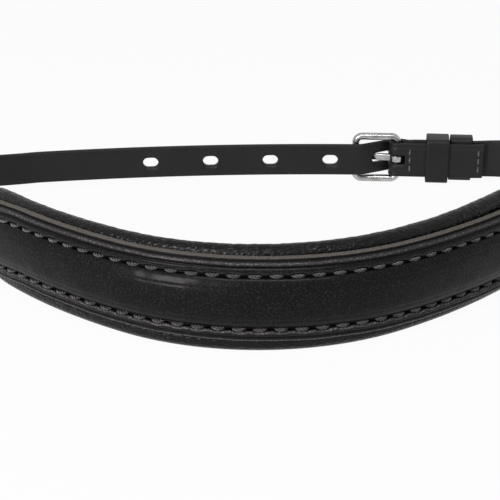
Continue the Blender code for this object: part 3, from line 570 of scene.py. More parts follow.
def face_profile(runs, shift, swell):
    """Upper half of the face leather's section, centre to back: depths, heights, shares of painted groove
    shade and of painted highlight.
    """
    half = face_half(runs)[:, None]
    row = half - ROW_INSET
    crown = row - LIP_INNER
    lift = (RAISE * raise_share(runs))[:, None]
    stitch = stitch_share(runs - shift)[:, None]
    sewn = (np.abs(runs - shift) < (STITCHES / 2 + 0.3) * STITCH_PITCH)[:, None]
    parts = []

    def add(outs, heights, painted_groove_shade=0.0, painted_highlight=0.0):
        parts.append(np.broadcast_arrays(outs, heights, painted_groove_shade, painted_highlight, half)[:4])

    share = np.sin(np.linspace(0.0, math.pi / 2, 26))
    crease = np.exp(-(((crown * share) - (crown - CREASE_INSET)) / CREASE_WIDTH) ** 2)
    add(lift * bulge(share) - CREASE_DEPTH * crease * lift / RAISE, crown * share)

    across = np.linspace(-1.0, 1.0, 15)[1:]
    end = row + (LIP_OUTER + LIP_ARC * stitch) * sewn
    fill = np.maximum(1.0 - np.abs(across) ** 5, 0.0) ** 0.6
    place = crown + (end - crown) * (across + 1.0) / 2
    # Painted shade over the groove's bottom
    add(-GROOVE_DEPTH * sewn * fill, place, sewn * smooth(fill, 0.3, 0.8))

    border = np.linspace(0.0, 1.0, 21)[1:]
    place = end + (half - EDGE_RADIUS - end) * border
    pillow = swell * np.sin(math.pi * border ** 0.6)
    # Painted shade in the crease along the edge; on the lip by the row a painted highlight, strong on the
    # lower border
    line = np.exp(-((place - half + EDGE_LINE_INSET) / EDGE_LINE_WIDTH) ** 2)
    painted_highlight_share = swell / LOWER_SWELL * np.exp(-((border - PAINTED_HIGHLIGHT_PLACE) / PAINTED_HIGHLIGHT_WIDTH) ** 2)
    add(pillow * (1.0 - 0.25 * stitch * (1.0 - border) ** 2) - EDGE_LINE_DEPTH * line, place,
        0.9 * smooth(line, 0.3, 0.9), painted_highlight_share)

    corner = np.linspace(0.0, math.pi / 2, 9)[1:]
    # Painted highlight round the rounded corner
    painted_highlight_share = np.exp(-((np.degrees(corner) - PAINTED_HIGHLIGHT_ANGLE) / PAINTED_HIGHLIGHT_SPREAD) ** 2)
    add(-EDGE_RADIUS * (1.0 - np.cos(corner)), half - EDGE_RADIUS * (1.0 - np.sin(corner)), painted_highlight=painted_highlight_share)

    inner = row - CORE_INSET - RAISE_WALL
    hollow = np.array((1.0, 0.9, 0.6, 0.2))
    add(FACE_INNER + 0.0001, half)
    add(FACE_INNER, half - 0.0001)
    add(lift * bulge(np.minimum(hollow, 0.999)) * (hollow < 0.95) + FACE_INNER, inner * hollow)
    return [np.concatenate(values, axis=1) for values in zip(*parts)]


def make_face():
    runs = band_runs(STITCH_PITCH / 14)
    upper = face_profile(runs, UPPER_SHIFT, UPPER_SWELL)
    lower = face_profile(runs, LOWER_SHIFT, LOWER_SWELL)
    # The lower half is mirrored, in the other order and without its centre point
    outs, heights, painted_groove_shade, painted_highlight = (np.concatenate((above, sign * below[:, :0:-1]), axis=1)
                                 for above, below, sign in zip(upper, lower, (1, -1, 1, 1)))
    front = outs > FACE_INNER + 0.0003
    outs = outs + front * 0.00007 * ripple(runs[:, None], heights, size=0.017, seed=1.0)
    uneven = 0.00006 * ripple(runs, 0.0, size=0.021, seed=2.0) + lean(runs)
    heights = heights * tip_share(runs)[:, None] + uneven[:, None]
    face = skin("face_leather", band_grid(runs, outs, heights), FACE_LEATHER, smooth_angle=60.0)
    # The face leather carries painted shade in its grooves and crease, and painted highlights on its corners
    # and lips
    mark_points(face, "cut", painted_groove_shade)
    mark_points(face, "painted_highlight", painted_highlight)
    return placed(face, "noseband", "face_leather", "front_leather")


def make_core():
    """The felt filler under the raised centre."""
    runs = np.linspace(-CORE_HALF, CORE_HALF, 101)
    inner = (face_half(runs) - ROW_INSET - CORE_INSET - RAISE_WALL - SEAT_GAP)[:, None]
    share = np.linspace(-0.94, 0.94, 15)
    front = (RAISE * raise_share(runs))[:, None] * bulge(share) + FACE_INNER - SEAT_GAP
    flat = np.full((len(runs), 1), FACE_INNER - SEAT_GAP / 2)
    outs = np.concatenate((flat, front, flat), axis=1)
    heights = np.concatenate((-inner, inner * share, inner), axis=1) + lean(runs)[:, None]
    core = skin("felt_core", band_grid(runs, outs, heights), FELT)
    return placed(core, "noseband", "core_felt", "raised_core")


def make_backing():
    """Second layer: its long cut edges are raw, a little uneven, and show above and below the face."""
    runs = band_runs(0.0012)
    half = (face_half(runs) * tip_share(runs))[:, None]
    radius = BACKING_CORNER
    turn = np.linspace(0.0, math.pi / 2, 5)
    arc = list(zip(radius * (1.0 - np.cos(turn)), radius * (1.0 - np.sin(turn))))
    rows = [(BACKING_OUTER, half * share) for share in (0.0, 0.35, 0.7, 0.93)]
    rows += [(BACKING_OUTER - out, half - up) for out, up in arc]
    for share in (0.33, 0.66):
        raw = 0.00003 * ripple(runs, 0.0, size=0.0023, seed=3.0 + share)[:, None]
        rows.append((BACKING_OUTER - radius - (BACKING_THICKNESS - 2 * radius) * share, half + raw))
    rows += [(BACKING_INNER + out, half - up) for out, up in arc[::-1]]
    rows += [(BACKING_INNER, half * share) for share in (0.93, 0.7, 0.35)]
    outs = np.concatenate([np.full(half.shape, out) for out, _ in rows], axis=1)
    heights = np.concatenate([height for _, height in rows], axis=1)
    outs = np.concatenate((outs, outs[:, :0:-1]), axis=1)
    heights = np.concatenate((heights, -heights[:, :0:-1]), axis=1)
    on_edge = np.abs(heights) > half - radius * 0.7
    raw = 0.00005 * ripple(runs, 0.0, size=0.004, seed=5.0)[:, None]
    uneven = raw * on_edge + lean(runs)[:, None] + BACKING_PROUD * (heights > 0.9 * half)
    backing = skin("backing_leather", band_grid(runs, outs, heights + uneven), CUT_LEATHER, smooth_angle=60.0)
    middle = (BACKING_OUTER + BACKING_INNER) / 2
    mark_points(backing, "cut", on_edge & (np.abs(outs - middle) < BACKING_THICKNESS / 2 - radius * 0.4))
    return placed(backing, "noseband", "backing_leather", "backing_leather")


def make_pad():
    """Pebbled lining rolled round the foam: full edges, a crowned inner side and small puckers."""
    level = PAD_HALF - PAD_END
    runs = ended_runs(level, PAD_END, (12, 24, 36, 48, 60, 70, 80, 90), 0.0011)
    share = end_share(runs, level, PAD_END, PAD_END_SHARE)[:, None]
    thickness = PAD_THICKNESS * share
    radius = thickness / 2
    half = face_half(runs)[:, None]
    rise = PAD_RISE * smooth(runs, *PAD_RISE_ALONG)[:, None] * (share > 0.999)
    top = (half + PAD_ABOVE) * share - radius + rise
    bottom = -(half + PAD_BELOW) * share + radius
    centre = STRAP_OUTER - radius
    turn = np.linspace(0.0, math.pi, 19)
    across = np.linspace(0.0, 1.0, 14)[1:-1]
    crown = 0.0005 * share * np.sin(math.pi * across) ** 0.6
    front = np.array((0.02, 0.04, 0.06, 0.08, 0.1, 0.12, 0.3, 0.5, 0.7, 0.85, 0.95))
    front_heights = bottom + (top - bottom) * front
    puff = PAD_PUFF * share * smooth(-half - front_heights, 0.0001, 0.0011)
    outs = np.concatenate((centre + radius * np.cos(turn), centre - radius - crown,
                           centre - radius * np.cos(turn) + PAD_PUFF * share * np.maximum(-np.cos(turn), 0.0),
                           centre + radius + puff), axis=1)
    heights = np.concatenate((top + radius * np.sin(turn), top + (bottom - top) * across,
                              bottom - radius * np.sin(turn), front_heights), axis=1)
    along = runs[:, None] + 0.0 * outs
    inner = outs < centre + radius * 0.6
    pucker = 0.00007 * ripple(along, heights, size=0.0031, seed=6.0)
    pucker = pucker + 0.0001 * ripple(along, heights, size=0.013, seed=7.0)
    outs = outs + pucker * inner
    heights = heights + 0.00008 * ripple(along, outs, size=0.0043, seed=8.0) * inner
    grid = band_grid(runs, outs, heights)
    grid[..., 2] = np.maximum(grid[..., 2], 0.0)
    pad = skin("nose_pad", grid, PAD_LEATHER, smooth_angle=60.0)
    return placed(pad, "noseband", "pad_leather", "pad_lining", "pad_foam")


# Stitches


def stitch_run(name, line, count, length, strand, helix, sink, lift, turns):
    """A row of stitches of three twisted strands; every strand is closed and dives at its ends.

    line takes positions counted in stitches, and gives points and the directions outward and across the row.
    length is a share of the pitch. strand and helix are the radii of a strand and of the line it follows."""
    rings = 26
    shares = np.linspace(0.0, 1.0, rings)
    angle = np.linspace(0.0, 2 * math.pi, 8, endpoint=False)
    swell = (0.12 + 0.88 * np.sin(math.pi * shares) ** 0.55)[:, None]
    rise = (-sink + (sink + lift) * np.sin(math.pi * shares) ** 0.6)[:, None]
    vertices = []
    faces = []
    for number in range(count):
        points, out_way, cross_way = line(number + 0.5 + (shares - 0.5) * length)
        slip = 0.00006 * math.sin(number * 2.399 + 0.7)
        centre = points + out_way * rise + cross_way * slip
        for ply in range(3):
            turn = (-2 * math.pi * turns * shares + ply * 2 * math.pi / 3 + number * 0.37)[:, None]
            radial = out_way * np.cos(turn) + cross_way * np.sin(turn)
            beside = cross_way * np.cos(turn) - out_way * np.sin(turn)
            middle = centre + radial * helix * swell
            around = radial[:, None] * np.cos(angle)[:, None] + beside[:, None] * np.sin(angle)[:, None]
            ring = (middle[:, None] + around * (strand * swell)[..., None]).reshape(-1, 3)
            base = len(vertices) * len(ring)
            faces.extend([base + corner for corner in face] for face in outward_faces(ring, rings))
            vertices.append(ring)
    row = mesh_object(name, np.concatenate(vertices), faces, THREAD, smooth_angle=70.0)
    return placed(row, "noseband", "thread", name)


def make_row(name, side, shift, drop):
    """The thick thread row along one border of the band."""
    def line(position):
        runs = (position - STITCHES / 2) * STITCH_PITCH + shift
        places, directions = loop_line(runs)
        heights = BAND_Z + side * (face_half(runs) - ROW_INSET) - drop + lean(runs)
        return np.column_stack((places, heights)), np.column_stack((directions, np.zeros(len(runs)))), UP

    return stitch_run(name, line, STITCHES, length=STITCH_LENGTH / STITCH_PITCH, strand=STRAND_RADIUS,
                      helix=TWIST_RADIUS, sink=0.0008, lift=-0.0001, turns=1.5)


def make_cross_seam(name, place, outward, middle, height):
    """A short row of stitches across a strap, on its inner side."""
    span = height - 2 * SEAM_INSET
    count = max(2, round(span / SEAM_PITCH))
    inward = np.array((-outward[0], -outward[1], 0.0))
    beside = np.array((-inward[1], inward[0], 0.0))

    def line(position):
        heights = middle + (position / count - 0.5) * span
        return np.column_stack((np.tile(place, (len(position), 1)), heights)), inward, beside

    return stitch_run(name, line, count, length=0.82, strand=0.00026, helix=0.0002, sink=0.0002, lift=0.0003,
                      turns=1.1)


# Straps


def strap_outline(thickness, width, crease=True):
    """Depths and heights round a strap: rounded edges and, on its outer side, a crease along each edge."""
    radius = min(STRAP_CORNER, width / 6)
    half_t = thickness / 2
    half_w = width / 2
    inset = min(STRAP_CREASE_INSET, width / 4)
    depth = STRAP_CREASE_DEPTH if crease and width > STRAP_WIDTH / 2 else 0.0
    line = ((inset + 0.00035, 0.0), (inset + 0.00015, depth),
            (inset - 0.00005, depth), (inset - 0.00025, 0.0))
    half = [(half_t, share * half_w) for share in (0.12, 0.5)]
    half += [(half_t - drop, half_w - place) for place, drop in line]
    for side, angles in ((1, (0, 22, 45, 68, 90)), (-1, (90, 68, 45, 22, 0))):
        half += [(side * (half_t - radius * (1 - math.cos(t))), half_w - radius * (1 - math.sin(t)))
                 for t in np.radians(angles)]
    half += [(-half_t, share * half_w) for share in (0.6, 0.2)]
    return np.array(half + [(out, -height) for out, height in half[::-1]])


def ribbon_grid(points, heights, outlines, outward_sign):
    """Strap sections swept along XY points, mitred at each point."""
    points = np.asarray(points, float)
    step = np.diff(points, axis=0)
    step /= np.linalg.norm(step, axis=1)[:, None]
    arriving = np.vstack((step[:1], step))
    leaving = np.vstack((step, step[-1:]))
    along = arriving + leaving
    along /= np.linalg.norm(along, axis=1)[:, None]
    outward = np.column_stack((-along[:, 1], along[:, 0])) * outward_sign
    outward /= np.sum(along * arriving, axis=1)[:, None]
    return swept(points, outward, outlines[..., 0], np.asarray(heights)[:, None] + outlines[..., 1])


def edge_marks(outlines, thickness):
    """True for the points on a strap's two cut edges."""
    half = np.abs(outlines[..., 1]).max(axis=1, keepdims=True)
    return (np.abs(outlines[..., 1]) > half - CUT_EDGE) & (np.abs(outlines[..., 0]) < thickness * 0.42)


def make_strap(name, grid, outlines, thickness, body="noseband", closed=False):
    """A piece of strap leather with its cut edges marked, in place of the CAD node of its name."""
    strap = skin(name, grid, STRAP_LEATHER, closed)
    mark_points(strap, "cut", edge_marks(outlines, thickness))
    return placed(strap, body, "strap_leather", name)


def chape_out(along):
    """Middle depth of the chape's outer layer, for a distance along the back."""
    drop = (FOLD_TOP - CHAPE_AT_KEEPER) * smooth(along, BAR_PLACE + SETTLE_START, BAR_PLACE + SETTLE_END)
    settle = (CHAPE_AT_KEEPER - CHAPE_REST) * smooth(along, TURN_BACK_END, TURN_BACK_END + CHAPE_SETTLE)
    return FOLD_TOP - drop - settle


def right_height(along):
    """Height of the doubled strap's middle: level through the keepers, then up to the cheek."""
    return BACK_Z + (BAND_Z - BACK_Z) * smooth(along, FIXED_KEEPER_PLACE, HALF_GIRTH - BAND_HALF)


def billet_height(along):
    end = HALF_GIRTH - BAND_HALF
    return right_height(along) + (BAND_Z - BACK_Z) * smooth(-along, end - RISE_LENGTH, end)


def chape_width(along):
    at_keeper = smooth(along, BAR_PLACE + FOLD_RADIUS, SLIDING_KEEPER_PLACE - KEEPER_WIDTH)
    at_cheek = smooth(along, FIXED_KEEPER_PLACE + KEEPER_WIDTH / 2, HALF_GIRTH - CORNER_END + CORNER_RADIUS)
    return (CHAPE_WIDTH_AT_BAR + (CHAPE_WIDTH_AT_KEEPER - CHAPE_WIDTH_AT_BAR) * at_keeper
            + (CHAPE_WIDTH_AT_CHEEK - CHAPE_WIDTH_AT_KEEPER) * at_cheek)


def climb_line():
    """Where the billet leaves the buckle's front bar, and its slope over the fold."""
    reach = (BUCKLE_LENGTH - CLIMB_SHORT, BAR_OUT - BILLET_REST)
    angle = math.atan2(reach[1], reach[0]) + math.asin(BILLET_TURN / math.hypot(*reach))
    return BAR_PLACE - reach[0], angle


def billet_out(along):
    start, angle = climb_line()
    top = BAR_PLACE - BILLET_TURN * math.sin(angle)
    if along < start - CLIMB_EASE:
        return BILLET_REST
    if along < start + CLIMB_EASE:
        return BILLET_REST + math.tan(angle) * (along - start + CLIMB_EASE) ** 2 / (4 * CLIMB_EASE)
    if along < top:
        return BILLET_REST + math.tan(angle) * (along - start)
    if along < BAR_PLACE:
        return BAR_OUT + math.sqrt(BILLET_TURN ** 2 - (BAR_PLACE - along) ** 2)
    return float(chape_out(min(along, TURN_BACK_END))) + BILLET_OVER_CHAPE


def tongue_slope():
    rise = WIRE_RADIUS + SEAT_GAP + TONGUE_THICKNESS / 2
    return math.atan2(rise, BUCKLE_LENGTH)


def used_hole():
    """Middle place along the back, and length, of the hole in use, as in the frame."""
    _, angle = climb_line()
    upright = math.pi / 2 - angle

    def reach(lift):
        crossing = upright - tongue_slope() - lift
        shaft = TONGUE_THICKNESS / 2 / math.cos(crossing)
        return BILLET_TURN * math.tan(crossing), shaft + BILLET_THICKNESS / 2 * math.tan(crossing) + SEAT_GAP

    far, far_room = reach(0.0)
    near, near_room = reach(HOLE_ROOM_TURN)
    foot = BAR_PLACE - BILLET_TURN * math.sin(angle)
    return foot - (far + far_room + near - near_room) / 2 * math.cos(angle), far + far_room - near + near_room


def walk(start, distance):
    """Place along the back that lies a signed distance from start, measured on the billet itself."""
    step = math.copysign(WALK_STEP, distance)
    remaining = abs(distance)
    while True:
        here = back_line(start, billet_out(start))[0][0]
        following = back_line(start + step, billet_out(start + step))[0][0]
        length = float(np.linalg.norm(following - here))
        if length >= remaining:
            return start + step * remaining / length
        remaining -= length
        start += step


def apply_step(made, step):
    with bpy.context.temp_override(object=made, active_object=made, selected_objects=[made]):
        bpy.ops.object.modifier_apply(modifier=step.name)


def cut_away(made, cutter):
    """Takes the cutter's volume out of a piece, and removes the cutter."""
    step = made.modifiers.new("cut", "BOOLEAN")
    step.operation = "DIFFERENCE"
    step.solver = "EXACT"
    step.object = cutter
    apply_step(made, step)
    bpy.data.objects.remove(cutter)


def cut_through(strap, centre, forward, outward, height, outline, reach):
    """Cuts an opening of this outline through a strap, and reach beyond centre on both sides."""
    rings = [[(*(centre + forward * a + outward * depth), height + b) for a, b in outline]
             for depth in (-reach, reach)]
    cut_away(strap, skin("cutter", np.array(rings), STRAP_LEATHER))


def punch(billet, along, length):
    """Cuts a slot-shaped hole square to the billet."""
    after, before = (back_line(place, billet_out(place))[0][0] for place in (along + 0.0005, along - 0.0005))
    line = after - before
    line /= np.linalg.norm(line)
    outward = np.array((-line[1], line[0]))
    centre = back_line(along, billet_out(along))[0][0]
    height = float(billet_height(along))
    radius = HOLE_WIDTH / 2
    outline = []
    for side in (1, -1):
        for turn in np.radians(np.linspace(-90, 90, 13)):
            reach = length / 2 - radius + radius * math.cos(turn)
            outline.append((side * reach, side * radius * math.sin(turn)))
    cut_through(billet, centre, line, outward, height, outline, PUNCH_REACH)


def make_billet():
    """The punched strap, from the left cheek round the back, over the fold and through the keepers."""
    place, length = used_hole()
    tip = walk(place, HOLE_PITCH) + TIP_AFTER_LAST_HOLE
    point = tip - POINT_LENGTH
    start = -(HALF_GIRTH - LAP_START)
    fold_end = BAR_PLACE + SETTLE_END
    alongs = np.concatenate((np.linspace(start, CLOSE_RINGS_FROM, 300)[:-1],
                             np.linspace(CLOSE_RINGS_FROM, fold_end, 60)[:-1],
                             np.linspace(fold_end, point, 30)[:-1],
                             point + POINT_LENGTH * np.sin(np.linspace(0.0, math.pi / 2, 14))))
    share = np.clip((alongs - point) / POINT_LENGTH, 0.0, 1.0)
    widths = STRAP_WIDTH * (1.0 - 0.9 * share ** 1.9)
    outs = [billet_out(along) for along in alongs]
    points = back_line(alongs, np.array(outs))[0]
    outlines = np.array([strap_outline(BILLET_THICKNESS, width) for width in widths])
    grid = ribbon_grid(points, billet_height(alongs), outlines, 1.0)
    billet = make_strap("billet_strap", grid, outlines, BILLET_THICKNESS)
    punch(billet, place, length + WORN_HOLE_ROOM)
    for number in FREE_HOLES:
        punch(billet, walk(place, number * HOLE_PITCH + HOLE_SHIFT), HOLE_LENGTH)


def make_chape():
    """One strap: from the right cheek, round the buckle's bar and back on its inner side."""
    outer = np.concatenate((np.linspace(HALF_GIRTH - LAP_START, BAR_PLACE + SETTLE_END, 110)[:-1],
                            np.linspace(BAR_PLACE + SETTLE_END, BAR_PLACE, 16)))
    points = list(back_line(outer, chape_out(outer))[0])
    heights = list(right_height(outer))
    widths = list(chape_width(outer))
    (bar,), (outward,) = back_line(BAR_PLACE, BAR_OUT)
    forward = np.array((-outward[1], outward[0]))
    for turn in np.radians(np.arange(9, 180, 9)):
        points.append(bar + FOLD_RADIUS * (outward * math.cos(turn) + forward * math.sin(turn)))
        heights.append(BACK_Z)
        widths.append(CHAPE_WIDTH_AT_BAR)
    for along in np.linspace(BAR_PLACE, TURN_BACK_END, 40):
        points.append(back_line(along, TURN_BACK_MID)[0][0])
        heights.append(float(right_height(along)))
        widths.append(CHAPE_WIDTH_AT_BAR)
    outlines = np.array([strap_outline(CHAPE_THICKNESS, width) for width in widths])
    chape = make_strap("chape_strap", ribbon_grid(points, heights, outlines, -1.0), outlines, CHAPE_THICKNESS)
    half_height = TONGUE_WIDTH / 2 + SLOT_ROOM
    back_reach = EYE_RADIUS + SEAT_GAP
    front_reach = FOLD_RADIUS + CHAPE_THICKNESS
    ring = ((-back_reach, -half_height), (-back_reach, half_height),
            (front_reach, half_height), (front_reach, -half_height))
    cut_through(chape, bar, forward, outward, BACK_Z, ring, SLOT_REACH)


def rounded_corners(points):
    """A polyline whose inner corners become short curves."""
    points = [np.asarray(p, float) for p in points]
    result = [points[0]]
    for before, corner, after in zip(points, points[1:], points[2:]):
        arriving = corner - before
        leaving = after - corner
        reach = min(LOOP_BEND, np.linalg.norm(arriving) * 0.45, np.linalg.norm(leaving) * 0.45)
        first = corner - arriving / np.linalg.norm(arriving) * reach
        last = corner + leaving / np.linalg.norm(leaving) * reach
        for share in np.linspace(0.0, 1.0, 6):
            result.append(first * (1 - share) ** 2 + corner * 2 * share * (1 - share) + last * share ** 2)
    result.append(points[-1])
    return result


def make_loop(side, word):
    foot = STRAP_OUTER - LOOP_THICKNESS / 2
    standing = BACKING_INNER - LOOP_CLEAR_DEPTH - LOOP_THICKNESS / 2
    runs = np.cumsum((LOOP_START, LOOP_FOOT, LOOP_RAMP, LOOP_FLAT, LOOP_RAMP, LOOP_FOOT))
    outs = np.array((foot, foot, standing, standing, foot, foot))
    points = rounded_corners(loop_line(side * runs, outs)[0])
    outlines = np.array([strap_outline(LOOP_THICKNESS, LOOP_HEIGHT)] * len(points))
    outlines[..., 0] *= -1.0
    name = f"{word}_headstrap_loop"
    grid = ribbon_grid(points, np.full(len(points), BAND_Z), outlines, -side)
    make_strap(name, grid, outlines, LOOP_THICKNESS)
    for end, run in (("front", runs[0] + LOOP_FOOT / 2), ("rear", runs[-1] - LOOP_FOOT / 2)):
        (place,), (outward,) = loop_line(side * run, STRAP_OUTER - LOOP_THICKNESS)
        make_cross_seam(f"{word}_loop_{end}_stitching", place, outward, BAND_Z, LOOP_HEIGHT)


def rounded_rectangle(near, far, half, radius, pieces):
    """Points round a rectangle with round corners, and the outward direction at each."""
    path = []
    corners = ((far, 1, 1, 0), (near, -1, 1, 90), (near, -1, -1, 180), (far, 1, -1, 270))
    for edge, side, rise, start in corners:
        middle = np.array((edge - radius * side, (half - radius) * rise))
        for turn in np.radians(start + np.linspace(0, 90, pieces)):
            normal = np.array((math.cos(turn), math.sin(turn)))
            path.append((middle + radius * normal, normal))
    return path


def make_keeper(name, body, place, low, high, low_wall, gap):
    """A leather ring with rounded edges round the doubled strap."""
    half = float(chape_width(place)) / 2 + gap
    near, origin, far = (np.array((*back_line(here)[0][0], right_height(here)))
                         for here in (place - KEEPER_WIDTH / 2, place, place + KEEPER_WIDTH / 2))
    direction = (near - far) / np.linalg.norm(near - far)
    outward = np.array((*back_line(place)[1][0], 0.0))
    low_mid = low - gap - low_wall / 2
    high_mid = high + gap + KEEPER_THICKNESS / 2
    half_mid = half + KEEPER_THICKNESS / 2
    grid = []
    outlines = []
    for here, normal in rounded_rectangle(low_mid, high_mid, half_mid, KEEPER_THICKNESS * 0.9, 7):
        wall = KEEPER_THICKNESS + (low_wall - KEEPER_THICKNESS) * max(0.0, -normal[0])
        outlines.append(strap_outline(wall, KEEPER_WIDTH, crease=False))
        side_way = outward * normal[0] + UP * normal[1]
        base = origin + outward * here[0] + UP * here[1]
        grid.append([base + side_way * a + direction * b for a, b in outlines[-1]])
    make_strap(name, np.array(grid), np.array(outlines), KEEPER_THICKNESS, body, closed=True)


# Buckle


def buckle_axes():
    (bar,), (outward,) = back_line(BAR_PLACE, BAR_OUT)
    outward = np.array((*outward, 0.0))
    forward = np.array((-outward[1], outward[0], 0.0))
    return np.array((*bar, BACK_Z)), forward, outward


def make_buckle():
    """One round wire bent to a rectangle, a little thinner where it is the bar."""
    centre, forward, outward = buckle_axes()
    half = (BUCKLE_HIGH.z - BUCKLE_LOW.z) / 2 - WIRE_RADIUS
    path = rounded_rectangle(0.0, BUCKLE_LENGTH, half, BUCKLE_CORNER, 10)
    refined = []
    for (here, normal), (following, _) in zip(path, path[1:] + path[:1]):
        refined.append((here, normal))
        if np.linalg.norm(following - here) > 0.002:
            for share in (0.25, 0.5, 0.75):
                refined.append((here + (following - here) * share, normal))
    angle = np.linspace(0.0, 2 * math.pi, 24, endpoint=False)
    grid = []
    for here, normal in refined:
        side_way = forward * normal[0] + UP * normal[1]
        on_bar = smooth(0.0012 - here[0], 0.0, 0.0012) * (abs(here[1]) < half - BUCKLE_CORNER * 0.9)
        radius = WIRE_RADIUS + (BAR_RADIUS - WIRE_RADIUS) * on_bar
        base = centre + forward * here[0] + UP * here[1]
        grid.append([base + side_way * radius * math.cos(t) + outward * radius * math.sin(t) for t in angle])
    buckle = skin("buckle_frame", np.array(grid), METAL, closed=True, smooth_angle=60.0)
    return placed(buckle, "buckle", "buckle_steel", "buckle_frame")


def make_tongue():
    """A flat eye round the bar and a rounded shaft that tapers to its tip on the front bar."""
    centre, forward, outward = buckle_axes()
    slope = tongue_slope()
    along = forward * math.cos(slope) + outward * math.sin(slope)
    across = outward * math.cos(slope) - forward * math.sin(slope)
    length = (BUCKLE_LENGTH + TONGUE_OVERHANG) / math.cos(slope)
    half = TONGUE_THICKNESS / 2
    open_angle = math.asin(half / EYE_RADIUS)
    outline = [(length - back, -half * share) for back, share in TONGUE_NOSE]
    outline += [(length - back, half * share) for back, share in TONGUE_NOSE[::-1]]
    for turn in np.linspace(open_angle, 2 * math.pi - open_angle, 40):
        outline.append((EYE_RADIUS * math.cos(turn), EYE_RADIUS * math.sin(turn)))

    def prism(name, shape, width):
        rings = [[centre + along * a + across * b + UP * shift for a, b in shape]
                 for shift in (-width / 2, width / 2)]
        return skin(name, np.array(rings), METAL)

    tongue = prism("buckle_tongue", outline, TONGUE_WIDTH)
    bore = EYE_RADIUS - TONGUE_WALL
    turns = np.linspace(0.0, 2 * math.pi, 40, endpoint=False)
    circle = [(bore * math.cos(turn), bore * math.sin(turn)) for turn in turns]
    cut_away(tongue, prism("tongue_bore", circle, TONGUE_WIDTH + 0.002))
    soften = tongue.modifiers.new("soften", "BEVEL")
    soften.width = TONGUE_BEVEL
    soften.segments = 4
    soften.limit_method = "ANGLE"
    soften.angle_limit = math.radians(50)
    apply_step(tongue, soften)
    tongue.data.shade_smooth()
    tongue.data.set_sharp_from_angle(angle=math.radians(40))
    return placed(tongue, "tongue", "buckle_steel", "buckle_tongue")


# Studio


def seen_by(tree, *kinds):
    """1 for rays of these kinds and 0 for those that only light the object."""
    path = add_node(tree, "LightPath", {})
    seen = path.outputs[kinds[0]]
    for kind in kinds[1:]:
        seen = math_node(tree, "MAXIMUM", seen, path.outputs[kind])
    return seen


def blend_shaders(tree, share, first, second, output):
    blend = add_node(tree, "MixShader", {"Fac": share, 1: first.outputs[0], 2: second.outputs[0]})
    tree.links.new(blend.outputs["Shader"], tree.nodes[output].inputs["Surface"])


def make_floor():
    made, tree = new_look("floor")
    set_shader(tree, {"Base Color": FLOOR_COLOUR, "Roughness": 0.9, "Specular IOR Level": 0.0})
    glow = add_node(tree, "Emission", {"Color": WHITE})
    share = math_node(tree, "MULTIPLY", seen_by(tree, "Is Camera Ray", "Is Glossy Ray"), FLOOR_GLOW)
    blend_shaders(tree, share, tree.nodes["Principled BSDF"], glow, "Material Output")
    size = 3.0
    corners = [(-size, -size, 0.0), (size, -size, 0.0), (size, size, 0.0), (-size, size, 0.0)]
    mesh_object("floor", corners, [(0, 1, 2, 3)], made)


def make_world():
    world = bpy.data.worlds.new("studio")
    bpy.context.scene.world = world
    world.use_nodes = True
    tree = world.node_tree
    light = tree.nodes["Background"]
    feed(tree, WHITE, light.inputs["Color"])
    feed(tree, WORLD_LIGHT, light.inputs["Strength"])
    shown = add_node(tree, "Background", {"Color": WORLD_SEEN, "Strength": 1.0})
    seen = seen_by(tree, "Is Camera Ray", "Is Glossy Ray", "Is Transmission Ray")
    blend_shaders(tree, seen, light, shown, "World Output")


def make_lamp(name, place, target, size, power, colour):
    lamp = bpy.data.lights.new(name, "AREA")
    lamp.shape = "RECTANGLE"
    lamp.size = size[0]
    lamp.size_y = size[1]
    lamp.energy = power
    lamp.color = colour
    made = linked(name, lamp)
    made.location = place
    made.rotation_euler = (Vector(target) - Vector(place)).to_track_quat("-Z", "Y").to_euler()


def make_camera():
    camera = bpy.data.cameras.new("camera")
    camera.lens = LENS_MM
    camera.sensor_width = SENSOR_MM
    camera.clip_start = 0.01
    made = linked("camera", camera)
    turn = Matrix.Rotation(CAMERA_TURN, 4, "Z")
    tilt = Matrix.Rotation(math.pi / 2 - CAMERA_TILT, 4, "X")
    roll = Matrix.Rotation(CAMERA_ROLL, 4, "Z")
    made.matrix_world = Matrix.Translation(CAMERA_PLACE) @ turn @ tilt @ roll
    bpy.context.scene.camera = made


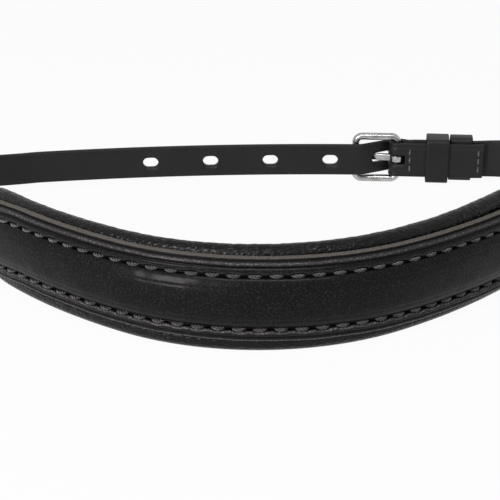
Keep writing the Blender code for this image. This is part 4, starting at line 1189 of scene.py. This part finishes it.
def main():
    make_camera()
    make_floor()
    make_world()
    make_lamp("overhead", place=(0.0, -0.38, 0.6), target=(0.0, -0.06, 0.02), size=(0.5, 0.03), power=1.35,
              colour=WHITE)
    make_lamp("window", place=(-0.38, -0.5, 0.25), target=(-0.03, -0.06, 0.02), size=(0.2, 0.32), power=2.7,
              colour=(1.0, 0.94, 0.98))
    make_face()
    make_backing()
    make_pad()
    make_row("upper_stitching", 1, UPPER_SHIFT, UPPER_DROP)
    make_row("lower_stitching", -1, LOWER_SHIFT, LOWER_DROP)
    make_billet()
    make_chape()
    make_buckle()
    make_tongue()
    chape_outer = CHAPE_AT_KEEPER + CHAPE_THICKNESS / 2
    billet_outer = chape_outer + SEAT_GAP + BILLET_THICKNESS
    make_keeper("fixed_keeper", "noseband", FIXED_KEEPER_PLACE, low=CHAPE_AT_KEEPER - CHAPE_THICKNESS / 2,
                high=billet_outer, low_wall=KEEPER_TUCK, gap=SEAT_GAP)
    make_keeper("sliding_keeper", "runner", SLIDING_KEEPER_PLACE, low=TURN_BACK_MID - CHAPE_THICKNESS / 2,
                high=billet_outer, low_wall=KEEPER_THICKNESS, gap=SLIDING_GAP)
    make_loop(-1, "left")
    make_loop(1, "right")
    for name, side, thickness, width in (("billet_stitching", -1, BILLET_THICKNESS, STRAP_WIDTH),
                                         ("chape_stitching", 1, CHAPE_THICKNESS, CHAPE_WIDTH_AT_CHEEK)):
        (place,), (outward,) = loop_line(side * (LAP_START + SEAM_INSET), STRAP_OUTER - thickness)
        make_cross_seam(name, place, outward, BAND_Z, width)
    for name, along in (("fold_stitching", BAR_PLACE + EYE_RADIUS + SEAT_GAP + SEAM_INSET),
                        ("turn_back_stitching", TURN_BACK_END - SEAM_INSET)):
        (place,), (outward,) = back_line(along, TURN_BACK_MID - CHAPE_THICKNESS / 2)
        make_cross_seam(name, place, outward, float(right_height(along)), CHAPE_WIDTH_AT_BAR)
    make_core()
    bpy.context.scene.view_settings.view_transform = "Standard"


main()
